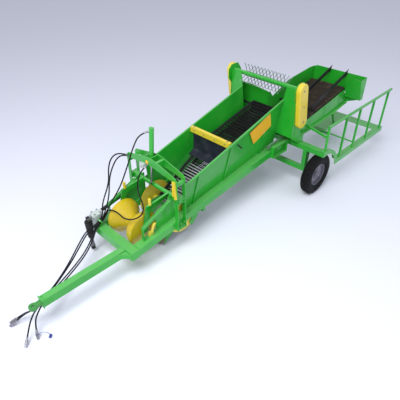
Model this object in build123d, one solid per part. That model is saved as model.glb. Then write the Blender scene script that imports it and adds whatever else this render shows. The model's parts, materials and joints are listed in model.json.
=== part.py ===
"""Trailed one-row potato harvester with picking table and bagging platform.

Millimetres. While it is built, x = 0 is the axle, y = 0 the middle between the wheels and
z = 0 the floor; +X points to the drawbar, +Y to the left side with the platform.
At the end every piece is moved so that the origin is the middle of the footprint.
"""

from build123d import *
import math
import os

# Fits and clearances
running_fit = 0.05
seat_gap = 0.3
side_clearance = 6.0
past_face = 5.0

# Wheels and axle
tyre_radius = 380.0
tyre_width = 180.0
tyre_crown = 38.0
tyre_bead_width = 124.0
rim_radius = 203.0
rim_shell = 8.0
rim_disc = 9.0
rim_disc_out = 18.0
rim_bowl_radius = 150.0
track = 2180.0
hub_radius = 55.0
hub_inner = 50.0
hub_outer = 46.0
hub_cap_radius = 34.0
spindle_radius = 30.0
axle_width = 80.0
axle_end_gap = 12.0
hanger_gap = 120.0
hanger_width = 75.0
hanger_length = 110.0
hanger_plate = 10.0

# Main frame
frame_half_width = 490.0
beam_width = 140.0
beam_depth = 120.0
beam_slope = 0.117
frame_front_x = 3540.0
frame_rear_x = 60.0
frame_front_z = 369.0
crossmember_width = 140.0
crossmember_depth = 130.0
crossmember_top = 485.0
crossbeam_width = 120.0
crossbeam_depth = 90.0
crossbeam_overhang = 30.0

# Drawbar
drawbar_y = 302.0
drawbar_width = 100.0
drawbar_depth = 120.0
drawbar_length = 1260.0
gusset_length = 138.0
gusset_depth = 76.0
gusset_hollow = 22.0
eye_bore_radius = 20.0
eye_outer_radius = 55.0
eye_thickness = 40.0
eye_shank_width = 70.0
eye_reach = 100.0
end_plate_thickness = 12.0
end_plate_margin = 10.0

# Trough and rod web
wall_half_width = 440.0
wall_flare = 0.12
wall_thickness = 6.0
wall_front_x = 2620.0
wall_rear_x = 330.0
wall_front_top = 1085.0
wall_top_slope = 0.268
wall_rail_height = 34.0
wall_rail_width = 26.0
wall_lip = 30.0
stiffener_width = 40.0
stiffener_depth = 18.0
stiffener_places = (2330.0, 1620.0, 700.0)
stiffener_lean = 87.0
web_side_gap = 28.0
web_radius = 70.0
web_belt_width = 45.0
web_belt_thickness = 10.0
web_rod_radius = 6.0
web_rod_pitch = 75.0
web_tail = (2430.0, 440.0)
web_knee = (1300.0, 1060.0)
web_head = (150.0, 1330.0)
web_shaft_radius = 20.0
web_knee_shaft = 378.0
tail_frame_x = 2195.0
tail_frame_radius = 25.0
tail_arm_y = 200.0
tail_arm_thickness = 14.0
tail_arm_depth = 56.0

# Share, its carrier and the disc coulters
share_half_width = 252.0
share_thickness = 14.0
share_tip_x = 3000.0
share_corner_x = 2930.0
share_bevel = 45.0
share_rear_x = 2540.0
share_rear_z = 330.0
cheek_thickness = 10.0
carrier_x = 2190.0
carrier_z = 410.0
carrier_size = 60.0
carrier_plate = 12.0
coulter_x = 2560.0
coulter_z = 460.0
coulter_radius = 305.0
coulter_thickness = 5.0
coulter_beam_gap = 14.0
coulter_edge = 18.0
coulter_hub_radius = 42.0
coulter_pin_radius = 16.0
coulter_guard_reach = 26.0
coulter_guard_thickness = 6.0
coulter_guard_start = 18.0
coulter_guard_sweep = 62.0

# Ridge roller and its swing
roller_end_radius = 272.0
roller_waist_radius = 125.0
roller_waist_length = 40.0
roller_lip = 25.0
roller_shoulder = 90.0
roller_half_length = 265.0
roller_x = 3265.0
roller_z = 545.0
roller_axle_radius = 20.0
arm_thickness = 14.0
arm_gap = 8.0
arm_depth = 76.0
arm_flange = 34.0
arm_knee_x = 3170.0
arm_knee_drop = 40.0
swing_x = 2780.0
swing_z = 950.0
swing_tube_radius = 32.0
swing_pin_radius = 22.0
swing_pin_length = 110.0
crank_pin = (2818.0, 1000.0)
crank_pin_radius = 12.0
crank_plate = 10.0
crank_half_width = 26.0
cap_radius = 22.0
cap_height = 105.0

# Portal arch, cheek plates and braces
arch_rear_x = 2700.0
arch_front_x = 2850.0
arch_plate = 12.0
arch_foot = 434.0
arch_leg = 62.0
arch_shoulder_z = 1305.0
arch_crown_z = 1456.0
arch_crown_y = 95.0
arch_crown_depth = 132.0
arch_tie_height = 46.0
brace_width = 44.0
brace_depth = 50.0
brace_wall = 8.0
brace_front = (3400.0, 712.0)
brace_rear = (2862.0, 930.0)
foot_plate = 14.0
cheek_plate_y = 376.0
cheek_plate_thickness = 12.0
cheek_plate_front_x = 3133.0
cheek_plate_top = 924.0
cheek_plate_fall = 52.0
cheek_plate_round = 90.0
bearing_height = 90.0
bearing_width = 80.0
latch_width = 46.0
latch_depth = 26.0

# Lift cylinder
lift_y = -60.0
lift_pivot = (2781.0, 1410.0)
lift_barrel_radius = 34.0
lift_barrel_wall = 7.0
lift_barrel_top = 460.0
lift_barrel_drop = 120.0
lift_gland_step = 5.0
lift_cap_step = 4.0
lift_cap_length = 12.0
lift_rod_end = 90.0
lift_rod_radius = 15.0
lift_rod_grip = 260.0
lift_eye_radius = 24.0
lift_eye_gap = 1.6
trunnion_radius = 15.0
trunnion_reach = 62.0
trunnion_seat = 16.0
trunnion_seat_low = 40.0
trunnion_seat_high = 42.0
trunnion_play = 2.0
lift_gland_length = 26.0

# Cross bar and curtain
bar_x = 1620.0
bar_depth = 90.0
bar_width = 60.0
bar_rise = 20.0
curtain_thickness = 8.0
curtain_length = 240.0
curtain_side_gap = 15.0

# Head unit with tined rotor
head_half_width = 698.0
head_plate = 8.0
head_panel_top = 1110.0
rotor_x = 265.0
rotor_z = 1912.0
rotor_radius = 35.0
rotor_stub_radius = 20.0
rotor_end_gap = 6.0
tine_count = 12
tine_rows = 4
tine_twist = 20.0
tine_span = 800.0
tine_radius = 5.0
tine_reach = 190.0
tine_hook = 35.0
guard_depth = 80.0
guard_radius = 117.0
guard_foot_x = 160.0
guard_foot_z = 1340.0
guard_round = 16.0
shield_low = 1060.0
shield_step = 1700.0
shield_top = 1930.0
shield_set_in = 40.0

# Picking table and bagging chute
table_far_y = -60.0
table_rear_x = -1450.0
table_front_x = 20.0
table_wall = 6.0
table_belt_z = 1205.0
table_belt_slope = 0.17
table_belt_radius = 45.0
table_belt_gap = 12.0
table_belt_thickness = 8.0
table_bar_pitch = 60.0
table_roller_inset = 80.0
table_shaft_radius = 15.0
table_lip = 46.0
table_break_x = -930.0
table_break_z = 1117.0
table_end_bottom = 1195.0
table_near_top_front = 1246.0
table_near_top_rear = 1500.0
table_far_top_front = 1480.0
table_far_top_rear = 1722.0
table_end_top = 1738.0
chute_outer_y = 1020.0
chute_inner_y = 885.0
chute_bottom = 1330.0
chute_top_length = 212.0
chute_bottom_length = 90.0
chute_top = 1745.0
end_round = 60.0
divider_y = (285.0, 625.0)
divider_front_x = -320.0
divider_front_z = 1430.0
divider_rear_z = 1800.0
divider_thickness = 14.0
divider_depth = 76.0
divider_bar = 25.0
table_leg_top_x = -1400.0
table_leg_foot_x = -1790.0
table_leg_size = 40.0

# Platform and railing
platform_outer_y = 1220.0
platform_rear_x = -2320.0
platform_top = 530.0
platform_depth = 90.0
platform_plate = 8.0
platform_flange = 95.0
arch_clearance = 45.0
arch_band = 75.0
floor_inner_y = -75.0
floor_edge_y = 430.0
floor_front_x = -1350.0
floor_band = 255.0
floor_lip = 60.0
inner_beam_size = 60.0
inner_beam_y = 120.0
inner_beam_crank_x = -700.0
rail_top = 1350.0
mid_rail_z = 1120.0
rail_size = 34.0
rail_overhang = 117.0
post_places = (0.0, -598.0, -1085.0, -1615.0, -2216.0)
mid_rail_x = -146.0
step_bar_radius = 14.0
step_bar_drop = 4.0
floor_beam = 50.0
floor_beam_end = 580.0
floor_beam_step = 20.0

# Drive
gearbox_x = 3610.0
gearbox_y = -425.0
gearbox_length = 130.0
gearbox_width = 120.0
gearbox_height = 200.0
gearbox_cap_radius = 48.0
gearbox_cap_length = 22.0
input_radius = 17.5
input_length = 60.0
input_z = 640.0
cardan_guard_radius = 56.0
cardan_neck_radius = 42.0
cardan_guard_length = 340.0
cardan_tube_radius = 26.0
cardan_length = 570.0
cardan_yoke_radius = 34.0
cardan_yoke_length = 60.0
yoke_plate = 12.0
yoke_half_gap = 24.0
shaft_guard_radius = 27.0
rear_box_x = 400.0
rear_box_y = -460.0
rear_box_z = 1240.0
rear_box_size = 130.0
bracket_box = ((200.0, 600.0), (490.0, 560.0), (715.0, 925.0))
bracket_wall = 6.0

# Hydraulic hoses, their fittings, rings, couplings and the dust cap
hose_radius = 10.0
hose_arc_share = 0.45
fitting_radius = 13.0
fitting_length = 40.0
hose_ring_radius = 38.0
hose_ring_wall = 5.0
hose_ring_width = 20.0
front_ring = (3620.0, -319.0, 579.0)
front_ring_along = (182.0, 0.0, -102.0)
front_ring_foot = 24.0
rear_ring = (4862.0, 198.0, 312.0)
rear_ring_along = (157.0, 74.0, 15.0)
rear_ring_lug_x = (4850.0, 4874.0)
rear_ring_lug_y = (226.0, 300.0)
rear_ring_lug_low = 318.0
coupling_length = 120.0
ferrule_length = 36.0
ferrule_radius = 13.0
collar_length = 56.0
collar_radius = 19.0
nose_radius = 15.0
strap_radius = 3.0
strap_ring_place = 64.0
strap_ring_width = 8.0
strap_ring_wall = 3.0
cap_start = (5000.0, 484.0, 19.0)
cap_end = (5030.0, 514.0, 19.0)
dust_cap_radius = 17.0


def side_prism(points, y_from, y_to):
    """A plate or block whose side view is the closed outline of (x, z) points."""
    outline = Polyline([Vector(x, y_from, z) for x, z in points], close=True)
    return extrude(make_face(outline), y_to - y_from, dir=(0, 1, 0))


def cross_prism(points, x_from, x_to):
    """A plate or block whose front view is the closed outline of (y, z) points."""
    outline = Polyline([Vector(x_from, y, z) for y, z in points], close=True)
    return extrude(make_face(outline), x_to - x_from, dir=(1, 0, 0))


def plan_prism(points, z_from, z_to):
    """A plate or block whose top view is the closed outline of (x, y) points."""
    outline = Polyline([Vector(x, y, z_from) for x, y in points], close=True)
    return extrude(make_face(outline), z_to - z_from, dir=(0, 0, 1))


def block(x_range, y_range, z_range):
    """A box between two corners."""
    (x0, x1), (y0, y1), (z0, z1) = sorted(x_range), sorted(y_range), sorted(z_range)
    middle = Pos((x0 + x1) / 2, (y0 + y1) / 2, (z0 + z1) / 2)
    return middle * Box(x1 - x0, y1 - y0, z1 - z0)


def rod(start, end, radius):
    """A round bar between two points."""
    start, end = Vector(*start), Vector(*end)
    return Solid.make_cylinder(radius, (end - start).length, Plane(start, z_dir=end - start))


def cross_rod(x, z, y_from, y_to, radius):
    """A round bar across the machine."""
    return rod((x, y_from, z), (x, y_to, z), radius)


def unit(a, b):
    length = math.dist(a, b)
    return ((b[0] - a[0]) / length, (b[1] - a[1]) / length)


def line_z(start, end, x):
    """Height at x on the straight line between two (x, z) points."""
    return start[1] + (end[1] - start[1]) * (x - start[0]) / (end[0] - start[0])


def beam_bottom(x):
    return frame_front_z + beam_slope * (frame_front_x - x)


def beam_top(x):
    return beam_bottom(x) + beam_depth


def wall_top(x):
    return wall_front_top + wall_top_slope * (wall_front_x - x)


def wall_y(x, z):
    """How far from the middle the wall's outer face lies."""
    return wall_half_width + wall_flare * (z - wall_top(x))


def table_line(x):
    """Height of the middle of the picking belt's loop."""
    return table_belt_z + table_belt_slope * (table_front_x - x)


crossbeam_bottom = beam_bottom(frame_rear_x)
crossbeam_top = crossbeam_bottom + crossbeam_depth
crossbeam_rear_x = frame_rear_x - crossbeam_width
crossmember_front_x = frame_front_x + crossmember_width
drawbar_tip_x = crossmember_front_x + drawbar_length
drawbar_middle = crossmember_top - drawbar_depth / 2
eye_x = drawbar_tip_x + eye_reach
beam_inner_y = frame_half_width - beam_width
hanger_outer = track / 2 - tyre_width / 2 - hanger_gap
coulter_y = beam_inner_y - coulter_beam_gap - coulter_thickness / 2
web_half_width = beam_inner_y - web_side_gap
web_rod_flat = web_rod_radius * math.cos(math.radians(30))
arch_half = frame_half_width + arch_leg
arm_inner = roller_half_length + arm_gap
head_inner = head_half_width - head_plate
floor_outer = platform_outer_y - platform_flange


# Frame and drawbar


def main_beams():
    outline = [
        (frame_front_x, beam_bottom(frame_front_x)),
        (frame_rear_x, beam_bottom(frame_rear_x)),
        (frame_rear_x, beam_top(frame_rear_x)),
        (frame_front_x, beam_top(frame_front_x)),
    ]
    return Compound(
        [side_prism(outline, side * beam_inner_y, side * frame_half_width) for side in (-1, 1)]
    )


def front_crossmember():
    beam = block(
        (frame_front_x, crossmember_front_x),
        (-frame_half_width, frame_half_width),
        (crossmember_top - crossmember_depth, crossmember_top),
    )
    ring_x, ring_y, ring_z = front_ring
    half = front_ring_foot / 2
    foot = block(
        (ring_x - half, ring_x + half),
        (ring_y - half, ring_y + half),
        (crossmember_top, ring_z - hose_ring_radius + past_face),
    )
    return beam + hose_ring(front_ring, front_ring_along, foot)


def drawbar():
    """A square tube with an end plate, a corner piece and the ring that holds the hoses."""
    near_face = drawbar_y + drawbar_width / 2
    bar = block(
        (crossmember_front_x, drawbar_tip_x - end_plate_thickness),
        (drawbar_y - drawbar_width / 2, near_face),
        (crossmember_top - drawbar_depth, crossmember_top),
    )
    end_plate = block(
        (drawbar_tip_x - end_plate_thickness, drawbar_tip_x),
        (drawbar_y - drawbar_width / 2 - end_plate_margin, near_face + end_plate_margin),
        (crossmember_top - drawbar_depth - end_plate_margin, crossmember_top + end_plate_margin),
    )
    # boxed corner piece with a hollow front edge
    low = drawbar_middle - gusset_depth / 2
    corner = Vector(crossmember_front_x, near_face, low)
    outer = Vector(crossmember_front_x, frame_half_width, low)
    ahead = Vector(crossmember_front_x + gusset_length, near_face, low)
    toward = (corner - (outer + ahead) * 0.5).normalized()
    hollow = (outer + ahead) * 0.5 + toward * gusset_hollow
    edges = [Line(corner, outer), ThreePointArc(outer, hollow, ahead), Line(ahead, corner)]
    gusset = extrude(make_face(Wire(edges)), gusset_depth, dir=(0, 0, 1))
    bar_bottom = crossmember_top - drawbar_depth
    lug = block(rear_ring_lug_x, rear_ring_lug_y, (rear_ring_lug_low, bar_bottom + end_plate_margin))
    return bar + end_plate + gusset + hose_ring(rear_ring, rear_ring_along, lug)


def drawbar_eye():
    centre = Pos(eye_x, drawbar_y, drawbar_middle)
    ring = centre * Cylinder(eye_outer_radius, eye_thickness)
    shank = block(
        (drawbar_tip_x, eye_x),
        (drawbar_y - eye_shank_width / 2, drawbar_y + eye_shank_width / 2),
        (drawbar_middle - eye_thickness / 2, drawbar_middle + eye_thickness / 2),
    )
    return ring + shank - centre * Cylinder(eye_bore_radius, 2 * eye_thickness)


def rear_crossbeam():
    return block(
        (crossbeam_rear_x, frame_rear_x),
        (-hanger_outer, platform_outer_y - platform_plate),
        (crossbeam_bottom, crossbeam_top),
    )


# Wheels


def axle():
    half = track / 2 - hub_inner - axle_end_gap
    beam = block(
        (-axle_width / 2, axle_width / 2),
        (-half, half),
        (tyre_radius - axle_width / 2, tyre_radius + axle_width / 2),
    )
    tip = track / 2 + hub_outer - end_plate_thickness
    return beam + cross_rod(0, tyre_radius, -tip, tip, spindle_radius)


def axle_hangers():
    """An open channel each side from the rear crossbeam down to the axle."""
    hangers = []
    low, high = tyre_radius + axle_width / 2, crossbeam_bottom
    for side in (-1, 1):
        outer, inner = side * hanger_outer, side * (hanger_outer - hanger_width)
        back = block((-hanger_length / 2, hanger_length / 2), (outer, outer - side * hanger_plate), (low, high))
        hanger = back
        for x in (-hanger_length / 2, hanger_length / 2 - hanger_plate):
            hanger += block((x, x + hanger_plate), (inner, outer), (low, high))
        hangers.append(hanger)
    return Compound(hangers)


def turned(profile, side):
    """A wheel piece whose half section is a closed outline of (radius, outward) points."""
    outline = Polyline([Vector(radius, 0, out) for radius, out in profile], close=True)
    solid = revolve(make_face(outline), Axis.Z)
    return Pos(0, side * track / 2, tyre_radius) * Rot(-90 * side, 0, 0) * solid


def tyre(side):
    half = tyre_width / 2
    seat = rim_radius + seat_gap
    bead = tyre_bead_width / 2
    height = tyre_radius - seat
    # share of the section's height, outward place
    section = [
        (0.0, bead - 4),
        (0.10, bead + 8),
        (0.30, half - 6),
        (0.52, half),
        (0.74, half - 5),
        (0.90, half - 18),
        (0.975, half - tyre_crown + 4),
        (1.0, half - tyre_crown - 14),
    ]
    outer = [(seat + share * height, out) for share, out in section]
    return turned([(r, -out) for r, out in outer] + outer[::-1], side)


def rim(side):
    """Well base rim with a dished disc, a hub and a hub cap."""
    bead = tyre_bead_width / 2
    bore = spindle_radius + running_fit
    inner = rim_radius - rim_shell
    disc = rim_disc_out
    return turned(
        [
            (bore, -hub_inner),
            (hub_radius, -hub_inner),
            (hub_radius, -rim_disc),
            (rim_bowl_radius - 40, -rim_disc),
            (rim_bowl_radius, disc - rim_disc),
            (inner, disc - rim_disc),
            (inner, -bead),
            (rim_radius, -bead),
            (rim_radius, bead),
            (inner, bead),
            (inner, disc),
            (rim_bowl_radius - 6, disc),
            (rim_bowl_radius - 46, 0),
            (hub_radius, 0),
            (hub_radius, hub_outer - 12),
            (hub_cap_radius + 4, hub_outer),
            (bore, hub_outer),
        ],
        side,
    )


# Trough


def wall_panel(side, points, outset, thickness):
    """A sheet along the leaning wall; outset moves it outwards from the wall's outer face."""
    outer = [Vector(x, side * (wall_y(x, z) + outset), z) for x, z in points]
    return extrude(make_face(Polyline(outer, close=True)), thickness, dir=(0, -side, 0))


def trough_wall(side):
    """A leaning sheet with three ribs and a top rail."""
    corners = [
        (wall_front_x, beam_top(wall_front_x)),
        (wall_front_x, wall_top(wall_front_x)),
        (wall_rear_x, wall_top(wall_rear_x)),
        (wall_rear_x, beam_top(wall_rear_x)),
    ]
    wall = wall_panel(side, corners, 0, wall_thickness)
    for x in stiffener_places:
        top = wall_top(x) - wall_rail_height
        low = beam_top(x + stiffener_lean)
        rib = [
            (x, top),
            (x - stiffener_width, wall_top(x - stiffener_width) - wall_rail_height),
            (x + stiffener_lean - stiffener_width, beam_top(x + stiffener_lean - stiffener_width)),
            (x + stiffener_lean, low),
        ]
        wall += wall_panel(side, rib, stiffener_depth, stiffener_depth)
    rail = [
        (wall_front_x, wall_top(wall_front_x)),
        (wall_rear_x, wall_top(wall_rear_x)),
        (wall_rear_x, wall_top(wall_rear_x) - wall_rail_height),
        (wall_front_x, wall_top(wall_front_x) - wall_rail_height),
    ]
    inner = side * (wall_half_width - wall_thickness)
    return wall + side_prism(rail, inner, inner + side * wall_rail_width)


def offset_line(points, distance):
    """The (x, z) line moved to its left by a distance, with mitred corners."""
    moved = []
    for index, point in enumerate(points):
        ahead = unit(point, points[index + 1]) if index < len(points) - 1 else None
        behind = unit(points[index - 1], point) if index else ahead
        ahead = ahead or behind
        normal = (-ahead[1] - behind[1], ahead[0] + behind[0])
        scale = 2 * distance / (normal[0] ** 2 + normal[1] ** 2)
        moved.append((point[0] + normal[0] * scale, point[1] + normal[1] * scale))
    return moved


def loop_face(path, radius, y):
    """The side view of a belt that runs round rollers on a line of (x, z) points."""
    left = offset_line(path, radius)
    right = offset_line(path, -radius)
    start = unit(path[1], path[0])
    end = unit(path[-2], path[-1])
    start_tip = (path[0][0] + start[0] * radius, path[0][1] + start[1] * radius)
    end_tip = (path[-1][0] + end[0] * radius, path[-1][1] + end[1] * radius)

    def at(point):
        return Vector(point[0], y, point[1])

    edges = [Line(at(a), at(b)) for a, b in zip(left, left[1:])]
    edges.append(ThreePointArc(at(left[-1]), at(end_tip), at(right[-1])))
    edges += [Line(at(a), at(b)) for a, b in zip(right[::-1], right[-2::-1])]
    edges.append(ThreePointArc(at(right[0]), at(start_tip), at(left[0])))
    return make_face(Wire(edges))


def loop_places(path, radius, pitch):
    """Evenly spaced (x, z, turn) places round such a loop."""
    wire = loop_face(path, radius, 0).face().outer_wire()
    count = round(wire.length / pitch)
    places = []
    for index in range(count):
        along = wire.length * index / count
        point = wire.position_at(along, PositionMode.LENGTH)
        ahead = wire.tangent_at(along, PositionMode.LENGTH)
        places.append((point.X, point.Z, math.degrees(math.atan2(ahead.Z, ahead.X))))
    return places


def rod_web(path, radius, y_from, y_to, belt_thickness, pitch):
    """A loop of bars on two flat belts."""
    belts = []
    for start in (y_from, y_to - web_belt_width):
        outer = loop_face(path, radius, start)
        inner = loop_face(path, radius - belt_thickness, start)
        belts.append(extrude(outer - inner, web_belt_width, dir=(0, 1, 0)))
    bars = []
    for x, z, turn in loop_places(path, radius - belt_thickness / 2, pitch):
        corners = [
            (
                x + web_rod_radius * math.cos(math.radians(turn + 60 * k)),
                z + web_rod_radius * math.sin(math.radians(turn + 60 * k)),
            )
            for k in range(6)
        ]
        bars.append(side_prism(corners, y_from + web_belt_width / 2, y_to - web_belt_width / 2))
    return belts[0].fuse(*belts[1:], *bars)


def digging_web():
    path = [web_tail, web_knee, web_head]
    return rod_web(path, web_radius, -web_half_width, web_half_width, web_belt_thickness, web_rod_pitch)


def web_rollers():
    """The tail roller is in three lengths, with the arms that hold it in the gaps."""
    drum_radius = web_radius - web_belt_thickness / 2 - web_rod_flat - seat_gap
    rollers = []
    for (x, z), reach in ((web_tail, web_half_width), (web_knee, web_knee_shaft), (web_head, head_inner)):
        drum = cross_rod(x, z, -web_half_width, web_half_width, drum_radius)
        rollers.append(drum + cross_rod(x, z, -reach, reach, web_shaft_radius))
    x, z = web_tail
    for side in (-1, 1):
        middle = side * tail_arm_y
        half = tail_arm_thickness / 2 + side_clearance / 2
        groove = cross_rod(x, z, middle - half, middle + half, drum_radius + 1)
        rollers[0] -= groove - cross_rod(x, z, middle - half, middle + half, web_shaft_radius)
    return Compound(rollers)


def web_tail_frame():
    """A tube between the main beams, inside the web's loop, with two arms to the tail roller."""
    frame_z = line_z(web_tail, web_knee, tail_frame_x)
    frame = cross_rod(tail_frame_x, frame_z, -beam_inner_y, beam_inner_y, tail_frame_radius)
    tail_x, tail_z = web_tail
    along = unit((tail_frame_x, frame_z), web_tail)
    half = tail_arm_depth / 2
    outline = [
        (tail_frame_x - along[1] * half, frame_z + along[0] * half),
        (tail_x - along[1] * half, tail_z + along[0] * half),
        (tail_x + along[0] * half, tail_z + along[1] * half),
        (tail_x + along[1] * half, tail_z - along[0] * half),
        (tail_frame_x + along[1] * half, frame_z - along[0] * half),
    ]
    for side in (-1, 1):
        middle = side * tail_arm_y
        thin = tail_arm_thickness / 2
        frame += side_prism(outline, middle - thin, middle + thin)
    bore = cross_rod(tail_x, tail_z, -web_half_width, web_half_width, web_shaft_radius + running_fit)
    return frame - bore


def cross_bar():
    bottom = wall_top(bar_x) + bar_rise - bar_depth
    half = wall_y(bar_x - bar_width / 2, bottom) - wall_thickness - seat_gap
    return block(
        (bar_x - bar_width / 2, bar_x + bar_width / 2), (-half, half), (bottom, bottom + bar_depth)
    )


def rubber_curtain():
    top = wall_top(bar_x) + bar_rise - bar_depth
    low = top - curtain_length
    half = wall_y(bar_x, low) - wall_thickness - curtain_side_gap
    return block((bar_x, bar_x + curtain_thickness), (-half, half), (low, top))


# Digging share and coulters


def share():
    lift = share_thickness
    bevel_x = share_tip_x - share_bevel
    outline = [
        (share_tip_x, 0),
        (bevel_x, 2 * lift),
        (share_rear_x, share_rear_z + lift),
        (share_rear_x, share_rear_z),
        (bevel_x, 0),
    ]
    blade = side_prism(outline, -share_half_width, share_half_width)
    point = plan_prism(
        [
            (share_rear_x, -share_half_width),
            (share_corner_x, -share_half_width),
            (share_tip_x, 0),
            (share_corner_x, share_half_width),
            (share_rear_x, share_half_width),
        ],
        0,
        share_rear_z + 2 * lift,
    )
    return blade & point


def share_carrier():
    """Side cheeks of the share, which pass under the web to a tube below the main beams."""
    low, high = carrier_z - carrier_size / 2, carrier_z + carrier_size / 2
    front, rear = carrier_x + carrier_size / 2, carrier_x - carrier_size / 2
    reach = beam_inner_y + beam_width / 2
    pieces_made = [block((rear, front), (-reach, reach), (low, high))]
    tail_x, tail_z = web_tail
    outline = [
        (share_corner_x - 10, 30),
        (share_corner_x - 130, 300),
        (coulter_x + 130, coulter_z + 60),
        (tail_x + web_radius + 15, coulter_z + 60),
        (tail_x + web_radius + 15, tail_z - web_radius - 10),
        (tail_x - 30, tail_z - web_radius - 14),
        (front, high),
        (front, low),
        (share_rear_x - 130, share_rear_z - 60),
        (share_rear_x, share_rear_z - 40),
    ]
    for side in (-1, 1):
        inner, outer = side * share_half_width, side * (share_half_width + cheek_thickness)
        pieces_made.append(side_prism(outline, inner, outer))
        pin_end = side * (coulter_y + coulter_thickness / 2 + side_clearance)
        pieces_made.append(cross_rod(coulter_x, coulter_z, inner, pin_end, coulter_pin_radius))
        hanger_inner = side * (reach - carrier_plate)
        bracket = [
            (rear, low),
            (front, low),
            (front, beam_bottom(front)),
            (rear, beam_bottom(rear)),
        ]
        pieces_made.append(side_prism(bracket, hanger_inner, side * reach))
    return pieces_made[0].fuse(*pieces_made[1:])


def disc_coulter(side):
    start = share_half_width + cheek_thickness + side_clearance
    outer = coulter_y + coulter_thickness / 2
    profile = [
        (coulter_pin_radius + running_fit, start),
        (coulter_hub_radius, start),
        (coulter_hub_radius, outer - coulter_thickness),
        (coulter_radius - coulter_edge, outer - coulter_thickness),
        (coulter_radius, outer - coulter_thickness / 2),
        (coulter_radius - coulter_edge, outer),
        (coulter_pin_radius + running_fit, outer),
    ]
    outline = Polyline([Vector(radius, 0, out) for radius, out in profile], close=True)
    solid = revolve(make_face(outline), Axis.Z)
    return Pos(coulter_x, 0, coulter_z) * Rot(-90 * side, 0, 0) * solid


def coulter_guards():
    """Curved plates on the beams' inner faces, over the rear of each disc."""
    inner, outer = coulter_radius * 0.72, coulter_radius + coulter_guard_reach
    guards = []

    def on(radius, turn, y):
        angle = math.radians(turn)
        return Vector(coulter_x - radius * math.cos(angle), y, coulter_z - radius * math.sin(angle))

    for side in (-1, 1):
        y = side * beam_inner_y
        first, last = -coulter_guard_start, coulter_guard_sweep
        middle = (first + last) / 2
        edges = [
            ThreePointArc(on(outer, first, y), on(outer, middle, y), on(outer, last, y)),
            Line(on(outer, last, y), on(inner, last, y)),
            ThreePointArc(on(inner, last, y), on(inner, middle, y), on(inner, first, y)),
            Line(on(inner, first, y), on(outer, first, y)),
        ]
        guards.append(extrude(make_face(Wire(edges)), coulter_guard_thickness, dir=(0, -side, 0)))
    return Compound(guards)


# Ridge roller and its swing


def ridge_roller():
    bore = roller_axle_radius + running_fit
    end, rim_edge = roller_half_length, roller_end_radius
    shoulder = rim_edge - roller_lip / 2
    half = [
        (rim_edge - roller_lip, end),
        (rim_edge, end - roller_lip),
        (shoulder, end - roller_shoulder),
        (roller_waist_radius, roller_waist_length / 2),
    ]
    profile = [(bore, -end)] + [(r, -out) for r, out in half] + half[::-1] + [(bore, end)]
    outline = Polyline([Vector(radius, 0, out) for radius, out in profile], close=True)
    return Pos(roller_x, 0, roller_z) * Rot(90, 0, 0) * revolve(make_face(outline), Axis.Z)


def roller_swing():
    """Cross tube with its pins, two cranked arms to the roller's axle and the lug for the cylinder."""
    tube_half = cheek_plate_y - cheek_plate_thickness - side_clearance
    made = [cross_rod(swing_x, swing_z, -tube_half, tube_half, swing_tube_radius)]
    pin_half = tube_half + swing_pin_length
    made.append(cross_rod(swing_x, swing_z, -pin_half, pin_half, swing_pin_radius))
    axle_half = arm_inner + arm_thickness
    made.append(cross_rod(roller_x, roller_z, -axle_half, axle_half, roller_axle_radius))
    half = arm_depth / 2
    knee_z = swing_z - arm_knee_drop
    arm = [
        (swing_x - half, swing_z - half),
        (swing_x - half, swing_z + half),
        (arm_knee_x + half, knee_z + half),
        (roller_x + half, roller_z + half),
        (roller_x + half, roller_z - half),
        (roller_x - half, roller_z - half),
        (arm_knee_x - half, knee_z - half),
    ]
    flange = [
        (swing_x + swing_tube_radius, line_z((swing_x, swing_z + half), (arm_knee_x, knee_z + half), swing_x)),
        (arm_knee_x + half, knee_z + half),
        (arm_knee_x + half, knee_z + half - cheek_thickness),
        (swing_x + swing_tube_radius, swing_z + half - cheek_thickness - 2),
    ]
    for side in (-1, 1):
        inner, outer = side * arm_inner, side * (arm_inner + arm_thickness)
        made.append(side_prism(arm, inner, outer))
        made.append(side_prism(flange, inner, side * (arm_inner + arm_flange)))
    pin_x, pin_z = crank_pin
    lug = [
        (swing_x - swing_tube_radius * 0.7, swing_z),
        (pin_x - 20, pin_z + 16),
        (pin_x + 14, pin_z + 16),
        (pin_x + 18, pin_z - 14),
        (swing_x + swing_tube_radius * 0.9, swing_z - 8),
    ]
    for side in (-1, 1):
        inner = lift_y + side * crank_half_width
        made.append(side_prism(lug, inner, inner + side * crank_plate))
    reach = crank_half_width + crank_plate
    made.append(cross_rod(pin_x, pin_z, lift_y - reach, lift_y + reach, crank_pin_radius))
    return made[0].fuse(*made[1:])


def swing_caps():
    """The caps of the depth spindles on the front of each arm."""
    foot = swing_z - arm_knee_drop + arm_depth / 2
    x = arm_knee_x - cap_radius
    caps = []
    for side in (-1, 1):
        y = side * (arm_inner + arm_flange / 2)
        cap = rod((x, y, foot), (x, y, foot + cap_height), cap_radius)
        caps.append(chamfer(cap.edges().group_by(Axis.Z)[-1], cap_radius / 4) - roller_swing())
    return Compound(caps)


# Portal arch with its cheek plates, bearings and braces


def arch_ring(half, shoulder, crown, foot):
    """Front view of one side of the arch as (y, z) points from foot to foot."""
    corner = 36.0
    right = [
        (half, foot),
        (half, shoulder),
        (half - corner, shoulder + corner * 1.25),
        (arch_crown_y, crown - 10),
        (arch_crown_y - 60, crown),
    ]
    return right + [(-y, z) for y, z in right[::-1]]


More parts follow.
